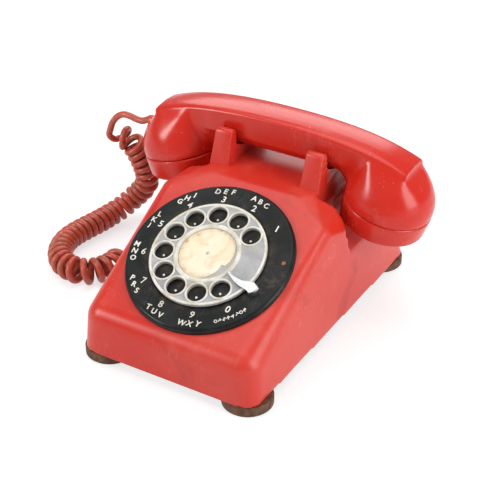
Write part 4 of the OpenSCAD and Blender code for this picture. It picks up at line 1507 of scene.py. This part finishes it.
    def build(self) -> bpy.types.Object:
        """Builds the handset's moulding and its two caps.

        Returns:
            The moulding.
        """
        body = self.moulding()
        finish = AgedPlastic("handset_plastic", roughness=0.22, fading=0.35).make()
        for side, kind, circles in ((-1, "transmitter_cap", self.transmitter_circles),
                                    (1, "receiver_cap", self.receiver_circles)):
            self.cap(side, circles).done(f"{kind}_moulding", [finish], Body.HANDSET, Slot.SHELL, [kind])
        return body.done("handset_moulding", [finish], Body.HANDSET, Slot.SHELL, ["handset_handle"],
                         even=False)


# ---------------------------------------------------------------- dial


@dataclass(frozen=True)
class Label:
    """The marks beside one finger hole: a digit, and letters along the arc outside it."""

    digit: str
    letters: str
    reversed: bool = False
    digit_radius: float = 43.7
    letter_radius: float = 50.0
    letter_height: float = 3.9
    spacing: float = 5.3


@dataclass
class Dial:
    """Number ring with its marks, finger wheel, card and finger stop."""

    ring: float = 55.75
    ring_bore: float = 12.0
    ring_low: float = 0.1
    roll: float = 3.0
    proud: float = 3.75
    floor: float = 3.15
    wheel: float = 38.3
    wheel_low: float = 4.05
    wheel_top: float = 6.25
    bead_width: float = 1.8
    hole_circle: float = 29.4
    first_hole: float = 45.0
    hole_spacing: float = 30.0
    hole: float = 6.3
    hub: float = 22.2
    shaft_hole: float = 3.05
    card: float = 18.9
    card_floor: float = 5.75
    card_thickness: float = 0.34
    card_eye: float = 1.2
    mark_thickness: float = 0.12
    digit_height: float = 4.7
    digit_bold: float = 0.012
    letter_bold: float = 0.022
    dot_circle: float = 29.3
    dot_shift: float = -1.8
    dot: float = 0.75
    labels: tuple[Label, ...] = (
        Label("1", "", digit_radius=46.4), Label("2", "ABC", True), Label("3", "DEF", True),
        Label("4", "GHI", True), Label("5", "JKL", True), Label("6", "MNO"), Label("7", "PRS"),
        Label("8", "TUV"), Label("9", "WXY"),
        Label("0", "OPERATOR", letter_radius=49.6, letter_height=2.3, spacing=2.75))
    torn: tuple[tuple[float, float], ...] = (
        (45, 18.7), (36, 18.4), (26.8, 17.9), (14, 17.5), (0.7, 16.9), (-9, 16.2), (-16.8, 15.6),
        (-19.1, 13.4), (-30, 14.4), (-41.7, 15.9), (-54, 16.3), (-65.5, 17.4), (-80, 18.7))
    stop_upper: tuple[Point, ...] = (
        (20.8, -8.1), (23.4, -9.6), (26.2, -10.6), (31.5, -11.4), (36.7, -10.4), (39.8, -10.2),
        (43.6, -12.8))
    stop_lower: tuple[Point, ...] = (
        (42.6, -16.2), (40.2, -18.3), (36.7, -16.6), (32.1, -15.6), (27.1, -13.8), (22.6, -11.2),
        (19.8, -9.3))
    stop_foot: tuple[Point, ...] = ((40.4, -10.6), (43.8, -12.9), (42.7, -16.1), (40.4, -18.1))
    stop_low: float = 7.4
    stop_thickness: float = 1.2

    def angle(self, index: int) -> float:
        """Returns the angle of a finger hole at rest, in degrees."""
        return self.first_hole + self.hole_spacing * index

    def build_ring(self) -> None:
        """Builds the number ring with its rolled edge and sunk middle."""
        rolled = [(self.ring - self.roll + self.roll * math.cos(math.radians(a)),
                   self.proud - self.roll + self.roll * math.sin(math.radians(a)))
                  for a in range(90, -1, -9)]
        sunk = [(self.ring_bore, self.ring_low), (self.ring_bore, self.floor),
                (self.wheel + 0.4, self.floor), (self.wheel + 0.7, self.proud - 0.2),
                (self.wheel + 1.0, self.proud)]
        ring = Workpiece()
        ring.lathe(sunk + rolled + [(self.ring, 0)], deck_place(), 192)
        ring.done("number_ring_moulding", [RingPlastic().make()], Body.BASE, Slot.RING, ["number_ring"],
                  crease=40)

    def build_marks(self) -> None:
        """Builds the digits and letters, upright on the deck, and the aiming dots under the holes."""
        marks = Workpiece()
        for index, label in enumerate(self.labels):
            middle = self.angle(index)
            marks.text(label.digit, self.digit_height, self._spot(label.digit_radius, middle),
                       self.mark_thickness, self.digit_bold)
            way = -1 if label.reversed else 1
            for k, letter in enumerate(label.letters):
                along = way * (k - (len(label.letters) - 1) / 2) * label.spacing
                swing = middle + math.degrees(along / label.letter_radius)
                marks.text(letter, label.letter_height, self._spot(label.letter_radius, swing),
                           self.mark_thickness, self.letter_bold)
            a = math.radians(middle)
            marks.drum(deck_place() @ at(self.dot_circle * math.cos(a),
                                         self.dot_circle * math.sin(a) + self.dot_shift, self.floor),
                       self.dot, 0.25, 20)
        paint = Mottled("mark_paint", (0.86, 0.83, 0.74), (0.62, 0.58, 0.48), 0.45).make()
        marks.done("ring_marks", [paint], Body.BASE, Slot.IVORY, even=False)

    def _spot(self, radius: float, degrees: float) -> Matrix:
        """Returns the place of a mark on the ring's top."""
        a = math.radians(degrees)
        return deck_place() @ at(radius * math.cos(a), radius * math.sin(a), self.proud)

    def build_wheel(self) -> None:
        """Builds the clear finger wheel with its ten holes, and the pale beads round its edges."""
        disc = Workpiece()
        disc.lathe([(self.shaft_hole, self.wheel_low), (self.wheel - 0.3, self.wheel_low),
                    (self.wheel, self.wheel_low + 0.3), (self.wheel, self.wheel_top - 0.4),
                    (self.wheel - 0.5, self.wheel_top), (self.card + 0.3, self.wheel_top),
                    (self.card + 0.3, self.card_floor), (self.shaft_hole, self.card_floor)],
                   deck_place(), 192)
        for index in range(len(self.labels)):
            drill = Workpiece()
            drill.drum(self._hole(index, self.floor - 0.15), self.hole, 8, 64)
            disc.work(drill, Joinery.CUT)
        disc.done("finger_wheel_disc", [HazyPlastic().make()], Body.DIAL, Slot.CLEAR, ["finger_wheel"],
                  crease=40)
        rims, top = Workpiece(), deck_place() @ at(0, 0, self.wheel_top)
        for index in range(len(self.labels)):
            rims.lathe(self._bead(self.hole - 0.05, self.hole + 1.3, 0.8), self._hole(index, self.wheel_top),
                       64)
        rims.lathe(self._bead(self.wheel - self.bead_width, self.wheel, 0.5), top, 192)
        rims.lathe(self._bead(self.card + 0.25, self.hub, 0.9), top, 192)
        pale = Mottled("rim_plastic", (0.74, 0.72, 0.66), (0.56, 0.50, 0.39), 0.28, scale=150.0).make()
        rims.done("finger_wheel_rims", [pale], Body.DIAL, Slot.CLEAR, crease=50)

    def _hole(self, index: int, z: float) -> Matrix:
        """Returns the place of a finger hole at a height over the deck."""
        a = math.radians(self.angle(index))
        return deck_place() @ at(self.hole_circle * math.cos(a), self.hole_circle * math.sin(a), z)

    @staticmethod
    def _bead(inner: float, outer: float, height: float) -> list[Point]:
        """Draws the section of a raised ring with a rounded top.

        Args:
            inner: Its inner radius.
            outer: Its outer radius.
            height: How far it stands up.

        Returns:
            The section's points, each a radius and a height.
        """
        middle, half = (inner + outer) / 2, (outer - inner) / 2
        arch = [(middle - half * math.cos(math.radians(a)), height * math.sin(math.radians(a)) ** 0.7)
                for a in range(0, 181, 20)]
        return [(inner, -0.15), *arch, (outer, -0.15)]

    def build_card(self) -> None:
        """Builds the number card with its torn lower right edge."""
        outline = [(self.card * math.cos(math.radians(a)), self.card * math.sin(math.radians(a)))
                   for a in range(48, 280, 4)]
        outline += [(r * math.cos(math.radians(a)), r * math.sin(math.radians(a)))
                    for a, r in reversed(self.torn)]
        card = Workpiece()
        card.prism(outline, self.card_thickness, deck_place() @ at(0, 0, self.card_floor))
        eye = Workpiece()
        eye.drum(deck_place() @ at(0, 0, self.card_floor - 0.75), self.card_eye, 3, 32)
        card.work(eye, Joinery.CUT)
        card.done("number_card_paper", [StainedCard().make()], Body.DIAL, Slot.CARD, ["number_card"],
                  even=False)

    def build_stop(self) -> None:
        """Builds the finger stop: a curved blade on a foot that stands on the ring."""
        stop = Workpiece()
        stop.prism([*self.stop_upper, *self.stop_lower], self.stop_thickness,
                   deck_place() @ at(0, 0, self.stop_low))
        foot = Workpiece()
        foot.prism(self.stop_foot, self.stop_low - self.proud + 0.05, deck_place() @ at(0, 0, self.proud))
        stop.work(foot, Joinery.ADD)
        stop.flatten(1.0)
        stop.soften(0.35, 50.0, 2)
        metal = BrushedMetal("stop_metal", (0.60, 0.60, 0.61), (0.40, 0.39, 0.38), 0.36, 0.2, (0, 0, -15))
        stop.done("finger_stop_blade", [metal.make()], Body.BASE, Slot.BRIGHT, ["finger_stop"], crease=60)

    def build(self) -> None:
        """Builds the dial's pieces."""
        self.build_ring()
        self.build_marks()
        self.build_wheel()
        self.build_card()
        self.build_stop()


# ---------------------------------------------------------------- carried-over nodes


@dataclass
class FramePaint:
    """Gives each node of the frame that stays in view the finish of its kind."""

    finishes: dict[Slot, bpy.types.Material] = field(default_factory=dict)

    def make_finishes(self) -> None:
        """Makes one finish for each slot."""
        self.finishes = {
            Slot.SHELL: AgedPlastic("cap_plastic", roughness=0.22, fading=0.35).make(),
            Slot.CORD: CordVinyl("bush_vinyl").make(),
            Slot.RING: RingPlastic("inner_ring_plastic").make(),
            Slot.CLEAR: ClearWindow().make(),
            Slot.CARD: StainedCard("card_stock").make(),
            Slot.BRIGHT: BrushedMetal("bright_metal", (0.78, 0.77, 0.75), (0.45, 0.42, 0.38)).make(),
            Slot.STEEL: BrushedMetal("plated_steel", (0.52, 0.52, 0.51), (0.24, 0.20, 0.16), 0.38).make(),
            Slot.BRASS: BrushedMetal("brass", (0.75, 0.53, 0.22), (0.36, 0.24, 0.11), 0.3).make(),
            Slot.PAD: Mottled("foot_pad", (0.085, 0.04, 0.022), (0.17, 0.085, 0.045), 0.85, scale=240.0,
                              bump=0.5).make(),
            Slot.PHENOLIC: Mottled("phenolic", (0.21, 0.09, 0.035), (0.13, 0.05, 0.02), 0.5).make(),
            Slot.WINDING: Mottled("winding", (0.34, 0.12, 0.045), (0.18, 0.06, 0.03), 0.4).make(),
            Slot.DARK: Mottled("dark_plastic", (0.03, 0.03, 0.032), (0.07, 0.068, 0.065), 0.45).make(),
            Slot.IVORY: Mottled("ivory_plastic", (0.80, 0.74, 0.60), (0.62, 0.52, 0.36), 0.4).make(),
        }

    @staticmethod
    def slot_of(node: bpy.types.Object) -> Slot:
        """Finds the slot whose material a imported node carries.

        Args:
            node: The node.

        Returns:
            The slot.
        """
        name = node.data.materials[0].name if node.data.materials else ""
        for kind in Slot:
            if kind.value in name:
                return kind
        log.warning("no slot for %s (%s)", node.name, name)
        return Slot.DARK

    def build(self) -> None:
        """Paints the nodes."""
        self.make_finishes()
        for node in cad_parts.values():
            kind = self.slot_of(node)
            node.data.materials.clear()
            node.data.materials.append(self.finishes[kind])
            for face in node.data.polygons:
                face.material_index = 0
        log.info("painted %d nodes of the frame", len(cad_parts))


def main() -> None:
    """Builds the telephone's pieces in order."""
    logging.basicConfig(level=logging.INFO, format="%(name)s: %(message)s")
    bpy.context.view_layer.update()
    Studio().build()
    FramePaint().build()
    Housing().build()
    Handset().build()
    Dial().build()
    HandsetCord().build()


if __name__ == "__main__":
    main()
